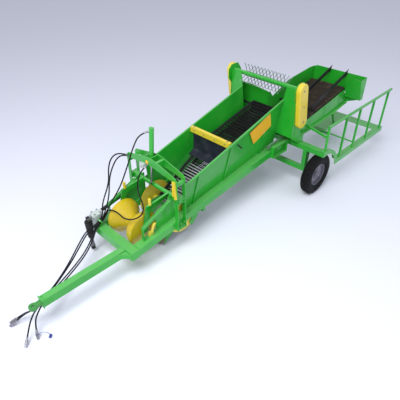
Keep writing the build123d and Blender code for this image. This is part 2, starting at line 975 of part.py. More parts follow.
def portal_arch():
    outer = arch_ring(arch_half, arch_shoulder_z, arch_crown_z, arch_foot)
    inner = arch_ring(
        frame_half_width, arch_shoulder_z - 70, arch_crown_z - arch_crown_depth, arch_foot
    )
    ring = outer + inner[::-1]
    made = [
        cross_prism(ring, arch_rear_x, arch_rear_x + arch_plate),
        cross_prism(ring, arch_front_x, arch_front_x + arch_plate),
    ]
    gap = (arch_rear_x + arch_plate, arch_front_x)
    for side in (-1, 1):
        legs = (side * frame_half_width, side * (arch_half - arch_plate))
        for z in (arch_foot, arch_shoulder_z - 90):
            made.append(block(gap, legs, (z, z + arch_tie_height)))
        # the bearing of the swing's tube, between the leg and the cheek plate
        hold = bearing_height / 2
        made.append(block(gap, legs, (swing_z - hold, swing_z + hold)))
        made.append(
            block(
                (swing_x - bearing_width / 2, swing_x + bearing_width / 2),
                (side * cheek_plate_y, side * frame_half_width),
                (swing_z - hold, swing_z + hold),
            )
        )
        tie = (side * arch_crown_y, side * (arch_crown_y + arch_tie_height))
        tie_z = arch_crown_z - arch_crown_depth
        made.append(block(gap, tie, (tie_z, tie_z + arch_crown_depth - 26)))
    arch = made[0].fuse(*made[1:])
    bore_half = cheek_plate_y - cheek_plate_thickness - side_clearance + swing_pin_length + seat_gap
    bore = cross_rod(swing_x, swing_z, -bore_half, bore_half, swing_pin_radius + running_fit)
    # bearings of the cylinder's trunnion, in the two plates beside the barrel
    pivot_x, pivot_z = lift_pivot
    seat_y = (lift_y - trunnion_reach, lift_y + trunnion_reach)
    seat_z = (pivot_z - trunnion_seat_low, pivot_z + trunnion_seat_high)
    for y, way in zip(seat_y, (1, -1)):
        arch += block(gap, (y, y + way * trunnion_seat), seat_z)
    pivot = cross_rod(pivot_x, pivot_z, seat_y[0] - 1, seat_y[1] + 1, trunnion_radius + running_fit)
    for name in ("hose_bulkhead", "hose_arch_outer", "hose_arch_inner"):
        arch += hose_fitting(name)
    return arch - bore - pivot


def cheek_plates():
    """The upright side plates between the arch and the front feet, with a rounded front corner."""
    plates = []
    front, rear = cheek_plate_front_x, arch_rear_x + arch_plate
    top = cheek_plate_top
    fall = top - cheek_plate_fall
    low = swing_z + bearing_height / 2
    for side in (-1, 1):
        y = side * (cheek_plate_y - cheek_plate_thickness)

        def at(x, z):
            return Vector(x, y, z)

        turn = cheek_plate_round
        edges = [
            Line(at(rear, beam_top(rear)), at(rear, low)),
            Line(at(rear, low), at(arch_front_x, low)),
            Line(at(arch_front_x, low), at(arch_front_x + 60, top - 8)),
            Line(at(arch_front_x + 60, top - 8), at(front - turn, fall)),
            ThreePointArc(
                at(front - turn, fall),
                at(front - turn * 0.29, fall - turn * 0.29),
                at(front, fall - turn),
            ),
            Line(at(front, fall - turn), at(front, beam_top(front))),
            Line(at(front, beam_top(front)), at(rear, beam_top(rear))),
        ]
        plate = extrude(make_face(Wire(edges)), cheek_plate_thickness, dir=(0, side, 0))
        bore_y = sorted((y - side * past_face, y + side * (cheek_plate_thickness + past_face)))
        plate -= cross_rod(swing_x, swing_z, *bore_y, swing_pin_radius + running_fit)
        plates.append(plate)
    return Compound(plates)


def braces():
    """An open channel each side from the arch down to a foot on the main beam."""
    ahead = unit(brace_rear, brace_front)
    up = (-ahead[1] * brace_depth / 2, ahead[0] * brace_depth / 2)
    if up[1] < 0:
        up = (-up[0], -up[1])
    thin = brace_wall / (brace_depth / 2)
    made = []
    foot_x = brace_front[0]
    for side in (-1, 1):
        start, end = side * cheek_plate_y, side * (cheek_plate_y + brace_width)

        def band(high, low, y_from, y_to):
            outline = [
                (brace_rear[0], brace_rear[1] + up[1] * high),
                (brace_front[0], brace_front[1] + up[1] * high),
                (brace_front[0], brace_front[1] + up[1] * low),
                (brace_rear[0], brace_rear[1] + up[1] * low),
            ]
            return side_prism(outline, y_from, y_to)

        channel = band(1, -1, start, start + side * brace_wall)
        channel += band(1, -1, end - side * brace_wall, end)
        channel += band(0.4, 0.4 - thin, start, end)
        foot = [
            (foot_x - foot_plate, brace_front[1]),
            (foot_x, brace_front[1]),
            (foot_x, beam_top(foot_x)),
            (foot_x - 70, beam_top(foot_x - 70)),
            (foot_x - 70, beam_top(foot_x - 70) + foot_plate),
            (foot_x - foot_plate, beam_top(foot_x) + foot_plate + 6),
        ]
        made.append(channel + side_prism(foot, start, end))
    return Compound(made)


def arch_latch():
    """The locking lever on the front of the near leg."""
    low, high = 1013.0, 1299.0
    front = arch_front_x + arch_plate
    outline = [
        (arch_half - 40, low),
        (arch_half - 40 + latch_width * 0.8, low + 8),
        (arch_half - 70 + latch_width, high),
        (arch_half - 78, high - 6),
    ]
    lever = cross_prism(outline, front, front + latch_depth)
    return lever + block(
        (front + latch_depth, front + latch_depth + 16),
        (arch_half - 60, arch_half - 34),
        (low + 60, low + 200),
    )


# Lift cylinder


def on_lift(distance):
    """A point on the cylinder's axis, by its distance above the crank pin."""
    axis = unit(crank_pin, lift_pivot)
    return (crank_pin[0] + axis[0] * distance, lift_y, crank_pin[1] + axis[1] * distance)


lift_span = math.dist(crank_pin, lift_pivot)


def lift_barrel():
    bottom, top = lift_span - lift_barrel_drop, lift_span + lift_barrel_top
    barrel = rod(on_lift(bottom), on_lift(top), lift_barrel_radius)
    pivot_x, pivot_z = lift_pivot
    pin_reach = trunnion_reach - trunnion_play
    pins = cross_rod(pivot_x, pivot_z, lift_y - pin_reach, lift_y + pin_reach, trunnion_radius)
    gland_top = bottom + lift_gland_length
    gland = rod(on_lift(bottom), on_lift(gland_top), lift_barrel_radius + lift_gland_step)
    cap = rod(on_lift(top - lift_cap_length), on_lift(top), lift_barrel_radius + lift_cap_step)
    bore = rod(on_lift(bottom - 1), on_lift(bottom + lift_rod_grip), lift_rod_radius + running_fit)
    return barrel + pins + gland + cap + hose_fitting("hose_mast") - bore


def lift_rod():
    shank = rod(on_lift(lift_eye_radius - past_face), on_lift(lift_span + lift_rod_end), lift_rod_radius)
    pin_x, pin_z = crank_pin
    half = crank_half_width - side_clearance
    eye = cross_rod(pin_x, pin_z, lift_y - half, lift_y + half, lift_eye_radius)
    bore = cross_rod(
        pin_x, pin_z, lift_y - half - 1, lift_y + half + 1, crank_pin_radius + lift_eye_gap
    )
    return shank + eye - bore


# Head unit


def head_side_plate(side):
    outline = [
        (crossbeam_rear_x, crossbeam_top),
        (frame_rear_x, crossbeam_top),
        (wall_rear_x + 10, 1050),
        (wall_rear_x + 10, shield_step),
        (rotor_x + 155, shield_step + 90),
        (rotor_x + 155, shield_top + 20),
        (rotor_x + 85, shield_top + 90),
        (rotor_x - 85, shield_top + 90),
        (rotor_x - 175, shield_top - 30),
        (crossbeam_rear_x, 1330),
    ]
    outer, inner = side * head_half_width, side * head_inner
    plate = side_prism(outline, inner, outer)
    bore = cross_rod(
        rotor_x, rotor_z, inner - side * past_face, outer + side * past_face, rotor_stub_radius + running_fit
    )
    return plate - bore


def head_panels():
    """The front plates beside the trough's mouth and the panel at the head's rear."""
    rear = (crossbeam_rear_x, crossbeam_rear_x + head_plate)
    panels = [block(rear, (-head_inner, head_inner), (crossbeam_top, head_panel_top))]
    for side in (-1, 1):
        outline = [
            (side * wall_y(wall_rear_x, shield_low), shield_low),
            (side * head_inner, shield_low),
            (side * head_inner, shield_top),
            (side * (wall_half_width + shield_set_in), shield_top),
            (side * wall_half_width, shield_step),
        ]
        panels.append(cross_prism(outline, wall_rear_x - head_plate, wall_rear_x))
    return Compound(panels)


def tined_rotor():
    """A shaft with rows of spring tines, each with a bent tip."""
    inner = head_inner - rotor_end_gap
    rotor = cross_rod(rotor_x, rotor_z, -inner, inner, rotor_radius)
    tip = head_half_width - 1
    rotor += cross_rod(rotor_x, rotor_z, -tip, tip, rotor_stub_radius)
    root, knee, end = rotor_radius - 5, rotor_radius + tine_reach - tine_hook, rotor_radius + tine_reach
    tines = []
    for index in range(tine_count):
        y = -tine_span / 2 + tine_span * index / (tine_count - 1)
        for row in range(tine_rows):
            bar = rod((0, 0, root), (0, 0, knee), tine_radius)
            bar += rod((0, 0, knee - tine_radius), (tine_hook / 2, 0, end), tine_radius)
            turn = 360 / tine_rows * row + tine_twist
            tines.append(Pos(rotor_x, y, rotor_z) * Rot(0, turn, 0) * bar)
    return rotor.fuse(*tines)


def chain_guards():
    """Covers of the chain drives up to the rotor, with a rounded outer edge."""
    low, high = (guard_foot_x, guard_foot_z), (rotor_x, rotor_z)
    guards = []
    for side in (-1, 1):
        face = loop_face([low, high], guard_radius, side * head_half_width)
        guard = extrude(face, guard_depth, dir=(0, side, 0))
        rim_edges = guard.edges().group_by(Axis.Y)[-1 if side > 0 else 0]
        guards.append(fillet(rim_edges, guard_round))
    return Compound(guards)


# Picking table


table_near_bottom = [
    (guard_foot_x - guard_radius - past_face, 1062.0),
    (-180.0, 1074.0),
    (table_break_x, table_break_z),
    (table_rear_x + table_wall, table_end_bottom),
]


def table_near_wall():
    front_x = table_near_bottom[0][0]
    outline = table_near_bottom + [
        (table_rear_x + table_wall, table_near_top_rear),
        (-833.0, 1386.0),
        (-163.0, 1278.0),
        (front_x, table_near_top_front),
    ]
    outer = head_half_width + table_wall
    wall = side_prism(outline, head_half_width, outer)
    band = table_near_bottom + [(x, z + table_wall) for x, z in table_near_bottom[::-1]]
    lip = side_prism(band, outer, outer + table_lip)
    return wall + lip


def table_far_wall():
    outline = [
        (crossbeam_rear_x, shield_low),
        (crossbeam_rear_x, table_far_top_front),
        (-556, 1670),
        (-1260, 1734),
        (table_rear_x + table_wall, table_far_top_rear),
        (table_rear_x + table_wall, table_end_bottom),
        (table_break_x, table_break_z),
    ]
    return side_prism(outline, table_far_y - table_wall, table_far_y)


def table_end_wall():
    far = table_far_y - table_wall

    def at(y, z):
        return Vector(table_rear_x, y, z)

    r = end_round
    edges = [
        Line(at(far, table_end_bottom), at(far, table_end_top - r)),
        ThreePointArc(
            at(far, table_end_top - r),
            at(far + 0.29 * r, table_end_top - 0.29 * r),
            at(far + r, table_end_top),
        ),
        Line(at(far + r, table_end_top), at(chute_outer_y, chute_top + 5)),
        Line(at(chute_outer_y, chute_top + 5), at(chute_outer_y, chute_bottom)),
        Line(at(chute_outer_y, chute_bottom), at(head_half_width + table_wall, table_end_bottom)),
        Line(at(head_half_width + table_wall, table_end_bottom), at(far, table_end_bottom)),
    ]
    return extrude(make_face(Wire(edges)), table_wall, dir=(1, 0, 0))


def bagging_chute():
    """A tapering duct on the front of the end wall, open at its bottom and towards the belt."""
    back = table_rear_x + table_wall
    top_x, low_x = table_rear_x + chute_top_length, table_rear_x + chute_bottom_length
    side_outline = [(back, chute_bottom), (back, chute_top), (top_x, chute_top - 8), (low_x, chute_bottom)]
    outer_side = side_prism(side_outline, chute_outer_y - table_wall, chute_outer_y)
    near = head_half_width + table_wall
    sheet = [(top_x, chute_top - 8), (low_x, chute_bottom), (low_x - table_wall, chute_bottom)]
    sheet.append((top_x - table_wall, chute_top - 8))
    front = side_prism(sheet, near, chute_outer_y)
    # the sheet's inner corner is cut off above the near wall
    corner = cross_prism(
        [(near - 1, chute_top), (chute_inner_y, chute_top), (near - 1, table_near_top_rear + 15)],
        low_x - 2 * table_wall,
        top_x + table_wall,
    )
    return outer_side + (front - corner)


table_path = [
    (table_front_x, table_line(table_front_x)),
    (table_rear_x + table_roller_inset, table_line(table_rear_x + table_roller_inset)),
]


def picking_belt():
    start, end = table_far_y + table_belt_gap, head_inner - table_belt_gap
    return rod_web(table_path, table_belt_radius, start, end, table_belt_thickness, table_bar_pitch)


def table_rollers():
    rollers = []
    radius = table_belt_radius - table_belt_thickness / 2 - web_rod_flat - seat_gap
    start, end = table_far_y + table_belt_gap, head_inner - table_belt_gap
    for x, z in table_path:
        near = head_half_width if x < crossbeam_rear_x else head_inner
        rollers.append(
            cross_rod(x, z, start, end, radius) + cross_rod(x, z, table_far_y, near, table_shaft_radius)
        )
    return Compound(rollers)


def table_dividers():
    """Two upright bars that split the belt into lanes, on a cross strip and the end wall."""
    front, rear = divider_front_x, table_rear_x + table_wall
    bars = block(
        (front - divider_bar, front),
        (table_far_y, head_half_width),
        (divider_front_z - divider_depth, divider_front_z - divider_depth + divider_bar),
    )
    for y in divider_y:
        outline = [
            (front, divider_front_z - divider_depth),
            (front, divider_front_z),
            (rear - 30, divider_rear_z),
            (rear, divider_rear_z - 20),
            (rear, divider_rear_z - divider_depth - 20),
        ]
        bars += side_prism(outline, y - divider_thickness / 2, y + divider_thickness / 2)
    return bars


def table_leg():
    top = table_line(table_leg_top_x) - table_belt_radius - 30
    top = min(top, line_z(table_near_bottom[2], table_near_bottom[3], table_leg_top_x - table_leg_size))
    size = table_leg_size
    outline = [
        (table_leg_top_x, top + 4),
        (table_leg_top_x - size, top + 4),
        (table_leg_foot_x - size, platform_top),
        (table_leg_foot_x, platform_top),
    ]
    return side_prism(outline, floor_edge_y - 60, floor_edge_y - 60 + size)


# Platform


def platform_outer_beam():
    """An angle beam that rises over the wheel in a round arch."""
    inner_radius = tyre_radius + arch_clearance
    outer_radius = inner_radius + arch_band
    bottom = platform_top - platform_depth
    turn = math.acos((bottom - tyre_radius) / inner_radius)
    turn_top = math.acos((platform_top - tyre_radius) / outer_radius)

    def band(outer, inner, low, high, low_turn, high_turn, y_from, y_to):
        def at(x, z):
            return Vector(x, y_from, z)

        def on(radius, angle):
            return at(-radius * math.sin(angle), tyre_radius + radius * math.cos(angle))

        edges = [
            Line(at(frame_rear_x, tyre_radius + outer), on(outer, 0)),
            ThreePointArc(on(outer, 0), on(outer, high_turn / 2), on(outer, high_turn)),
            Line(on(outer, high_turn), at(platform_rear_x, high)),
            Line(at(platform_rear_x, high), at(platform_rear_x, low)),
            Line(at(platform_rear_x, low), on(inner, low_turn)),
            ThreePointArc(on(inner, low_turn), on(inner, low_turn / 2), on(inner, 0)),
            Line(on(inner, 0), at(frame_rear_x, tyre_radius + inner)),
            Line(at(frame_rear_x, tyre_radius + inner), at(frame_rear_x, tyre_radius + outer)),
        ]
        return extrude(make_face(Wire(edges)), y_to - y_from, dir=(0, 1, 0))

    web = band(
        outer_radius, inner_radius, bottom, platform_top, turn, turn_top,
        platform_outer_y - platform_plate, platform_outer_y,
    )
    flange_radius = outer_radius - platform_plate
    flange_turn = math.acos((platform_top - platform_plate - tyre_radius) / flange_radius)
    flange = band(
        outer_radius, flange_radius, platform_top - platform_plate, platform_top,
        flange_turn, turn_top, floor_outer, platform_outer_y - platform_plate,
    )
    keep_out = block(
        (crossbeam_rear_x, frame_rear_x + past_face),
        (floor_outer - 1, platform_outer_y - platform_plate),
        (crossbeam_bottom, crossbeam_top),
    )
    return web + (flange - keep_out)


def platform_floor():
    floor = [
        (platform_rear_x, floor_inner_y),
        (platform_rear_x, floor_outer),
        (platform_rear_x + floor_band, floor_outer),
        (platform_rear_x + floor_band, floor_edge_y),
        (floor_front_x, floor_edge_y),
        (floor_front_x, floor_inner_y),
    ]
    plate = plan_prism(floor, platform_top - platform_plate, platform_top)
    under = (platform_top - floor_lip, platform_top - platform_plate)
    rear = (platform_rear_x, platform_rear_x + platform_plate)
    lip = block(rear, (floor_inner_y, floor_outer), under)
    edge = (floor_edge_y - platform_plate, floor_edge_y)
    side_lip = block((platform_rear_x + floor_band, floor_front_x), edge, under)
    far = block((platform_rear_x + platform_plate, floor_front_x), (floor_inner_y, floor_inner_y + platform_plate), under)
    return plate + lip + side_lip + far


def platform_inner_beam():
    """The crank-shaped beam from the rear crossbeam to the platform's floor, with its cross bars."""
    high = platform_top - platform_plate
    low = high - inner_beam_size
    bend = inner_beam_crank_x
    outline = [
        (crossbeam_rear_x, crossbeam_bottom),
        (crossbeam_rear_x, crossbeam_top),
        (crossbeam_rear_x - crossbeam_width, crossbeam_top),
        (bend, high),
        (platform_rear_x + platform_plate, high),
        (platform_rear_x + platform_plate, low),
        (bend - inner_beam_size / 2, low),
    ]
    crank = side_prism(outline, inner_beam_y, inner_beam_y + inner_beam_size)
    # the beam under the floor's front edge and the thin bar on to the outer beam
    start = inner_beam_y + inner_beam_size
    edge_beam = block(
        (floor_front_x, floor_front_x + floor_beam), (start, floor_beam_end), (high - floor_beam, high)
    )
    under = block(
        (floor_front_x - floor_beam, floor_front_x),
        (start, floor_edge_y - platform_plate),
        (high - floor_beam, high - floor_beam_step),
    )
    bar = cross_rod(
        floor_front_x + floor_beam / 2,
        high - step_bar_radius - step_bar_drop,
        floor_beam_end - past_face,
        platform_outer_y - platform_plate,
        step_bar_radius,
    )
    return crank + edge_beam + under + bar


def front_mid_rail():
    """The rail from the picking table's side out to the railing's first post."""
    outer = head_half_width + table_wall
    post = platform_outer_y - platform_plate - rail_size
    half = rail_size / 2
    near_x, post_x = mid_rail_x, post_places[0]
    outline = [
        (near_x - half, outer),
        (near_x + half, outer),
        (post_x + half, post + past_face),
        (post_x - half, post + past_face),
    ]
    return plan_prism(outline, mid_rail_z, mid_rail_z + rail_size)


def railing():
    y0 = platform_outer_y - platform_plate - rail_size
    y1 = platform_outer_y - platform_plate
    half = rail_size / 2
    rails = block(
        (post_places[-1] - rail_overhang, post_places[0] + half), (y0, y1), (rail_top - rail_size, rail_top)
    )
    for index, x in enumerate(post_places):
        foot = tyre_radius * 2 + arch_clearance + arch_band if index == 0 else platform_top
        rails += block((x - half, x + half), (y0, y1), (foot, rail_top - rail_size))
    return rails + front_mid_rail()


# Drive


def input_gearbox():
    """A casting on the crossmember's far end, with round bosses to the front and the rear."""
    half_x, half_y = gearbox_length / 2, gearbox_width / 2
    top = crossmember_top + gearbox_height
    low = crossmember_top + 16
    body = block((gearbox_x - half_x, gearbox_x + half_x), (gearbox_y - half_y, gearbox_y + half_y), (low, top))
    body = chamfer(body.edges().filter_by(Axis.X), 18)
    foot = block(
        (gearbox_x - half_x, gearbox_x + half_x),
        (gearbox_y - half_y, gearbox_y + half_y),
        (crossmember_top, low),
    )
    front = rod(
        (gearbox_x + half_x, gearbox_y, input_z),
        (gearbox_x + half_x + gearbox_cap_length, gearbox_y, input_z),
        gearbox_cap_radius,
    )
    rear = rod(
        (gearbox_x - half_x, gearbox_y, input_z),
        (gearbox_x - half_x - gearbox_cap_length, gearbox_y, input_z),
        gearbox_cap_radius,
    )
    return body + foot + front + rear


input_start = gearbox_x + gearbox_length / 2 + gearbox_cap_length
joint_x = input_start + input_length


def input_shaft():
    """The input stub with the driven yoke of the cardan joint."""
    stub = rod((input_start, gearbox_y, input_z), (joint_x - 26, gearbox_y, input_z), input_radius)
    back = block(
        (joint_x - 38, joint_x - 26),
        (gearbox_y - yoke_half_gap - yoke_plate, gearbox_y + yoke_half_gap + yoke_plate),
        (input_z - 20, input_z + 20),
    )
    ears = []
    for side in (-1, 1):
        inner = gearbox_y + side * yoke_half_gap
        ears.append(
            block((joint_x - 38, joint_x + 16), (inner, inner + side * yoke_plate), (input_z - 20, input_z + 20))
        )
    shaft = stub.fuse(back, *ears)
    half = yoke_half_gap + yoke_plate + 1
    return shaft - cross_rod(joint_x, input_z, gearbox_y - half, gearbox_y + half, 9 + running_fit)


def cardan_shaft():
    """The drive shaft as it hangs when unhitched, in its cone guard."""
    def down(distance):
        return (joint_x, gearbox_y, input_z - distance)

    half = yoke_half_gap + yoke_plate
    made = [
        cross_rod(joint_x, input_z, gearbox_y - half, gearbox_y + half, 9),
        rod(down(-12), down(46), 15),
        rod(down(80), down(cardan_length), cardan_tube_radius),
        rod(down(cardan_length - cardan_yoke_length), down(cardan_length), cardan_yoke_radius),
        rod(down(44), down(82), 24),
    ]
    start = 46.0
    cone = Solid.make_cone(
        cardan_guard_radius, cardan_neck_radius, cardan_guard_length - start,
        Plane(down(start), x_dir=(1, 0, 0), z_dir=(0, 0, -1)),
    )
    made.append(cone)
    return made[0].fuse(*made[1:])


def drive_shaft():
    """The guarded shaft along the far side, from the front gearbox to the rear one."""
    start = (gearbox_x - gearbox_length / 2 - gearbox_cap_length, gearbox_y - 25, input_z)
    end = (rear_box_x + rear_box_size / 2, rear_box_y, rear_box_z)
    return rod(start, end, shaft_guard_radius) - input_gearbox() - rear_gearbox()


def rear_gearbox():
    half = rear_box_size / 2
    body = block(
        (wall_rear_x, rear_box_x + half),
        (rear_box_y - half - 30, rear_box_y + 8),
        (rear_box_z - half, rear_box_z + half),
    )
    return chamfer(body.edges().filter_by(Axis.X), 16)


def bracket_frame():
    """The open box bracket on the near beam behind the trough."""
    x_range, y_range, z_range = bracket_box
    outer = block(x_range, y_range, z_range)
    hollow = block(
        (x_range[0] + bracket_wall, x_range[1] - bracket_wall),
        (y_range[0] + bracket_wall, y_range[1] + 1),
        (z_range[0] + bracket_wall, z_range[1] - bracket_wall),
    )
    return outer - hollow


# Hoses


# points of each hose from its fitting to its coupling
hose_routes = {
    "hose_mast": [
        (2792, -96, 1812), (2890, -150, 1790), (2987, -176, 1640), (3076, -190, 1440), (3162, -212, 1245),
        (3248, -234, 1065), (3345, -266, 915), (3448, -300, 770), (3528, -332, 612), (3712, -332, 510),
        (3840, -268, 392), (4040, -180, 304), (4300, -66, 278), (4560, 52, 286), (4777, 166, 318),
        (4935, 244, 332), (5035, 274, 312), (5112, 290, 238), (5168, 300, 142), (5234, 361, 85),
    ],
    "hose_bulkhead": [
        (2888, -62, 1322), (2985, -68, 1270), (3022, -98, 1150), (3040, -118, 1020), (3080, -45, 905),
        (3125, 98, 856), (3228, 236, 856), (3350, 318, 862), (3474, 282, 858), (3514, 150, 834),
        (3482, 0, 814), (3476, -150, 796), (3492, -270, 742), (3530, -306, 612), (3712, -306, 510),
        (3832, -244, 385), (4032, -156, 290), (4298, -46, 256), (4564, 74, 262), (4777, 166, 290),
        (4933, 246, 306), (5000, 275, 268), (5075, 297, 188), (5108, 358, 108),
    ],
    "hose_arch_outer": [
        (2897, -527, 1318), (3000, -512, 1392), (3125, -474, 1436), (3230, -444, 1400), (3292, -424, 1275),
        (3312, -414, 1135), (3372, -398, 1005), (3455, -376, 905), (3530, -350, 790), (3552, -332, 635),
        (3708, -332, 540), (3862, -330, 530), (4060, -232, 470), (4280, -112, 392), (4530, 16, 332),
        (4792, 146, 318), (4945, 214, 332), (5044, 210, 288), (5084, 138, 214), (5118, 62, 138),
        (5206, 34, 84),
    ],
    "hose_arch_inner": [
        (2897, -495, 1318), (3002, -478, 1376), (3120, -444, 1378), (3218, -410, 1312), (3298, -384, 1215),
        (3352, -362, 1085), (3384, -346, 945), (3450, -324, 815), (3530, -306, 700), (3576, -306, 622),
        (3704, -306, 548), (3862, -306, 512), (4056, -210, 446), (4274, -104, 366), (4530, 8, 304),
        (4792, 144, 290), (4937, 206, 303), (5026, 190, 260), (5060, 114, 192), (5090, 28, 118),
        (5180, -6, 74),
    ],
}
strap_route = [(5108, 398, 54), (5075, 404, 60), (5040, 424, 57), (5013, 452, 38), (5004, 476, 22)]


def tube(points, radius):
    """A tube along straight runs joined by arcs as large as the runs allow, and those radii."""
    corners = [Vector(*point) for point in points]
    runs = [after - before for before, after in zip(corners, corners[1:])]
    radii = [
        hose_arc_share * min(a.length, b.length) / math.tan(math.radians(a.get_angle(b) / 2))
        for a, b in zip(runs, runs[1:])
    ]
    path = FilletPolyline(*corners, radius=radii)
    section = Plane(corners[0], z_dir=runs[0]) * Circle(radius)
    return sweep(section, path=path), path.length, radii


def hose(name):
    solid, length, radii = tube(hose_routes[name], hose_radius)
    share = solid.volume / (math.pi * hose_radius**2 * length)
    print(name, "length", round(length), "volume share", round(share, 4), "radii", [round(r) for r in radii])
    return solid


def hose_fitting(name):
    """The steel stub that a hose is crimped to, in line with its first run."""
    start, ahead = (Vector(*point) for point in hose_routes[name][:2])
    along = (ahead - start).normalized()
    return rod(start - along * (fitting_length + seat_gap), start - along * seat_gap, fitting_radius)


def hose_ring(centre, along, foot):
    """A welded ring on a foot, through which the hoses run."""
    middle, along = Vector(*centre), Vector(*along).normalized()
    half = along * (hose_ring_width / 2)
    outer = rod(middle - half, middle + half, hose_ring_radius + hose_ring_wall)
    return outer + foot - rod(middle - half * 3, middle + half * 3, hose_ring_radius)


def hose_end(name):
    """The end of a hose and the way that its coupling points."""
    before, end = (Vector(*point) for point in hose_routes[name][-2:])
    return end, (end - before).normalized()


def hose_couplings():
    """A ferrule, a collar and a nose on each hose's end."""
    couplings = []
    for name in hose_routes:
        end, along = hose_end(name)
        collar_start = end + along * ferrule_length
        nose_start = collar_start + along * collar_length
        coupling = rod(end, collar_start, ferrule_radius)
        coupling += rod(collar_start, nose_start, collar_radius)
        couplings.append(coupling + rod(nose_start, end + along * coupling_length, nose_radius))
    return Compound(couplings)


def dust_cap():
    """A cap whose moulded strap ends in a ring round the near hose's coupling."""
    end, along = hose_end("hose_bulkhead")
    middle = end + along * strap_ring_place
    half = along * (strap_ring_width / 2)
    bore = collar_radius + seat_gap
    ring = rod(middle - half, middle + half, bore + strap_ring_wall)
    strap, length, radii = tube(strap_route, strap_radius)
    print("strap length", round(length), "radii", [round(r) for r in radii])
    cap = rod(cap_start, cap_end, dust_cap_radius)
    return ring + strap + cap - rod(middle - half * 3, middle + half * 3, bore)


pieces = {
    "drawbar": drawbar(),
    "drawbar_eye": drawbar_eye(),
    "front_crossmember": front_crossmember(),
    "rear_crossbeam": rear_crossbeam(),
    "axle": axle(),
    "main_beams": main_beams(),
    "trough_walls": Compound([trough_wall(side) for side in (-1, 1)]),
    "axle_hangers": axle_hangers(),
    "trough_web": digging_web(),
    "web_rollers": web_rollers(),
    "web_tail_frame": web_tail_frame(),
    "share": share(),
    "share_carrier": share_carrier(),
    "coulter_guards": coulter_guards(),
    "ridge_roller": ridge_roller(),
    "roller_swing": roller_swing(),
    "swing_caps": swing_caps(),
    "portal_arch": portal_arch(),
    "cheek_plates": cheek_plates(),
    "braces": braces(),
    "arch_latch": arch_latch(),
    "lift_barrel": lift_barrel(),
    "lift_rod": lift_rod(),
    "cross_bar": cross_bar(),
    "rubber_curtain": rubber_curtain(),
    "head_panels": head_panels(),
    "chain_guards": chain_guards(),
    "tined_rotor": tined_rotor(),
    "table_near_wall": table_near_wall(),
    "table_far_wall": table_far_wall(),
    "table_end_wall": table_end_wall(),
    "bagging_chute": bagging_chute(),
    "picking_belt": picking_belt(),
    "table_rollers": table_rollers(),
    "table_dividers": table_dividers(),
    "table_leg": table_leg(),
    "platform_outer_beam": platform_outer_beam(),
    "platform_floor": platform_floor(),
    "platform_inner_beam": platform_inner_beam(),
    "railing": railing(),
    "gearboxes": Compound([input_gearbox(), rear_gearbox()]),
    "input_shaft": input_shaft(),
    "cardan_shaft": cardan_shaft(),
    "drive_shaft": drive_shaft(),
    "bracket_frame": bracket_frame(),
    "hose_couplings": hose_couplings(),
    "dust_cap": dust_cap(),
}
for name, side in (("left", 1), ("right", -1)):
    pieces[f"tyre_{name}"] = tyre(side)
    pieces[f"rim_{name}"] = rim(side)
    pieces[f"disc_coulter_{name}"] = disc_coulter(side)
    pieces[f"head_side_plate_{name}"] = head_side_plate(side)

for name in hose_routes:
    pieces[name] = hose(name)

# the footprint is the machine's own, without the hoses and what is on them
on_hoses = {"hose_couplings", "dust_cap", *hose_routes}
boxes = [shape.bounding_box() for name, shape in pieces.items() if name not in on_hoses]
low = [min(tuple(box.min)[k] for box in boxes) for k in range(3)]
high = [max(tuple(box.max)[k] for box in boxes) for k in range(3)]
shift = (-(low[0] + high[0]) / 2, -(low[1] + high[1]) / 2, -low[2])

os.makedirs("parts", exist_ok=True)
for name, shape in pieces.items():
    export_step(Pos(*shift) * shape, f"parts/{name}.step")
print("moved by", [round(value, 3) for value in shift])
print("size", [round(high[k] - low[k], 1) for k in range(3)])
print("volume", round(sum(shape.volume for shape in pieces.values()) / 1e9, 4), "m3")
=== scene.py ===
import bmesh
import bpy
import json
import math
from mathutils import Euler, Matrix, Vector, noise


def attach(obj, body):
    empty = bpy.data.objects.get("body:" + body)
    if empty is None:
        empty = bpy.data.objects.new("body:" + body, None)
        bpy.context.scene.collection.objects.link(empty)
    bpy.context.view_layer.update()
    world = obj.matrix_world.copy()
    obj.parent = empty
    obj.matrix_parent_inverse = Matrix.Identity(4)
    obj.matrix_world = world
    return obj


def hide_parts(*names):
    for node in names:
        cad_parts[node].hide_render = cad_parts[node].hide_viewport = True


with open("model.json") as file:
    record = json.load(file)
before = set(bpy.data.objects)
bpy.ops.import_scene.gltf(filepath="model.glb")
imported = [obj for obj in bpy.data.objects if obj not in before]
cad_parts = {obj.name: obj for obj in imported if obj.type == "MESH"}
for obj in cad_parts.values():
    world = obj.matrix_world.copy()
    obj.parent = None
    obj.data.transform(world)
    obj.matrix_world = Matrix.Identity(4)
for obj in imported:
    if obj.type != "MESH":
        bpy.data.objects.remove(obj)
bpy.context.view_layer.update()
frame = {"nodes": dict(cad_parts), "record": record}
nodes = frame["nodes"]

# metres; the places below count from the floor under the axle, +x to the drawbar, +y to the platform
axlePlace = Vector((-1.381, -0.020, 0))


def at(x, y, z):
    return axlePlace + Vector((x, y, z))


# camera at the photo's angle
shot = {
    "place": (4.5398, 4.0067, 4.4562),
    "heading": 224.737,
    "downward": 36.469,
    "roll": -0.148,
    "lens": 37.187,
    "sensor": 36,
    "shiftY": -0.00375,
    "reach": 200,
}
aim = Euler((math.radians(90 - shot["downward"]), 0, math.radians(shot["heading"] - 90)))
tilt = Matrix.Rotation(math.radians(shot["roll"]), 3, "Z")
cameraData = bpy.data.cameras.new("photoCamera")
cameraData.lens = shot["lens"]
cameraData.sensor_width = shot["sensor"]
cameraData.shift_y = shot["shiftY"]
cameraData.clip_end = shot["reach"]
camera = bpy.data.objects.new("photoCamera", cameraData)
camera.location = shot["place"]
camera.rotation_euler = (aim.to_matrix() @ tilt).to_euler()
bpy.context.scene.collection.objects.link(camera)
bpy.context.scene.camera = camera
bpy.context.scene.view_settings.view_transform = "Standard"


looks = {}


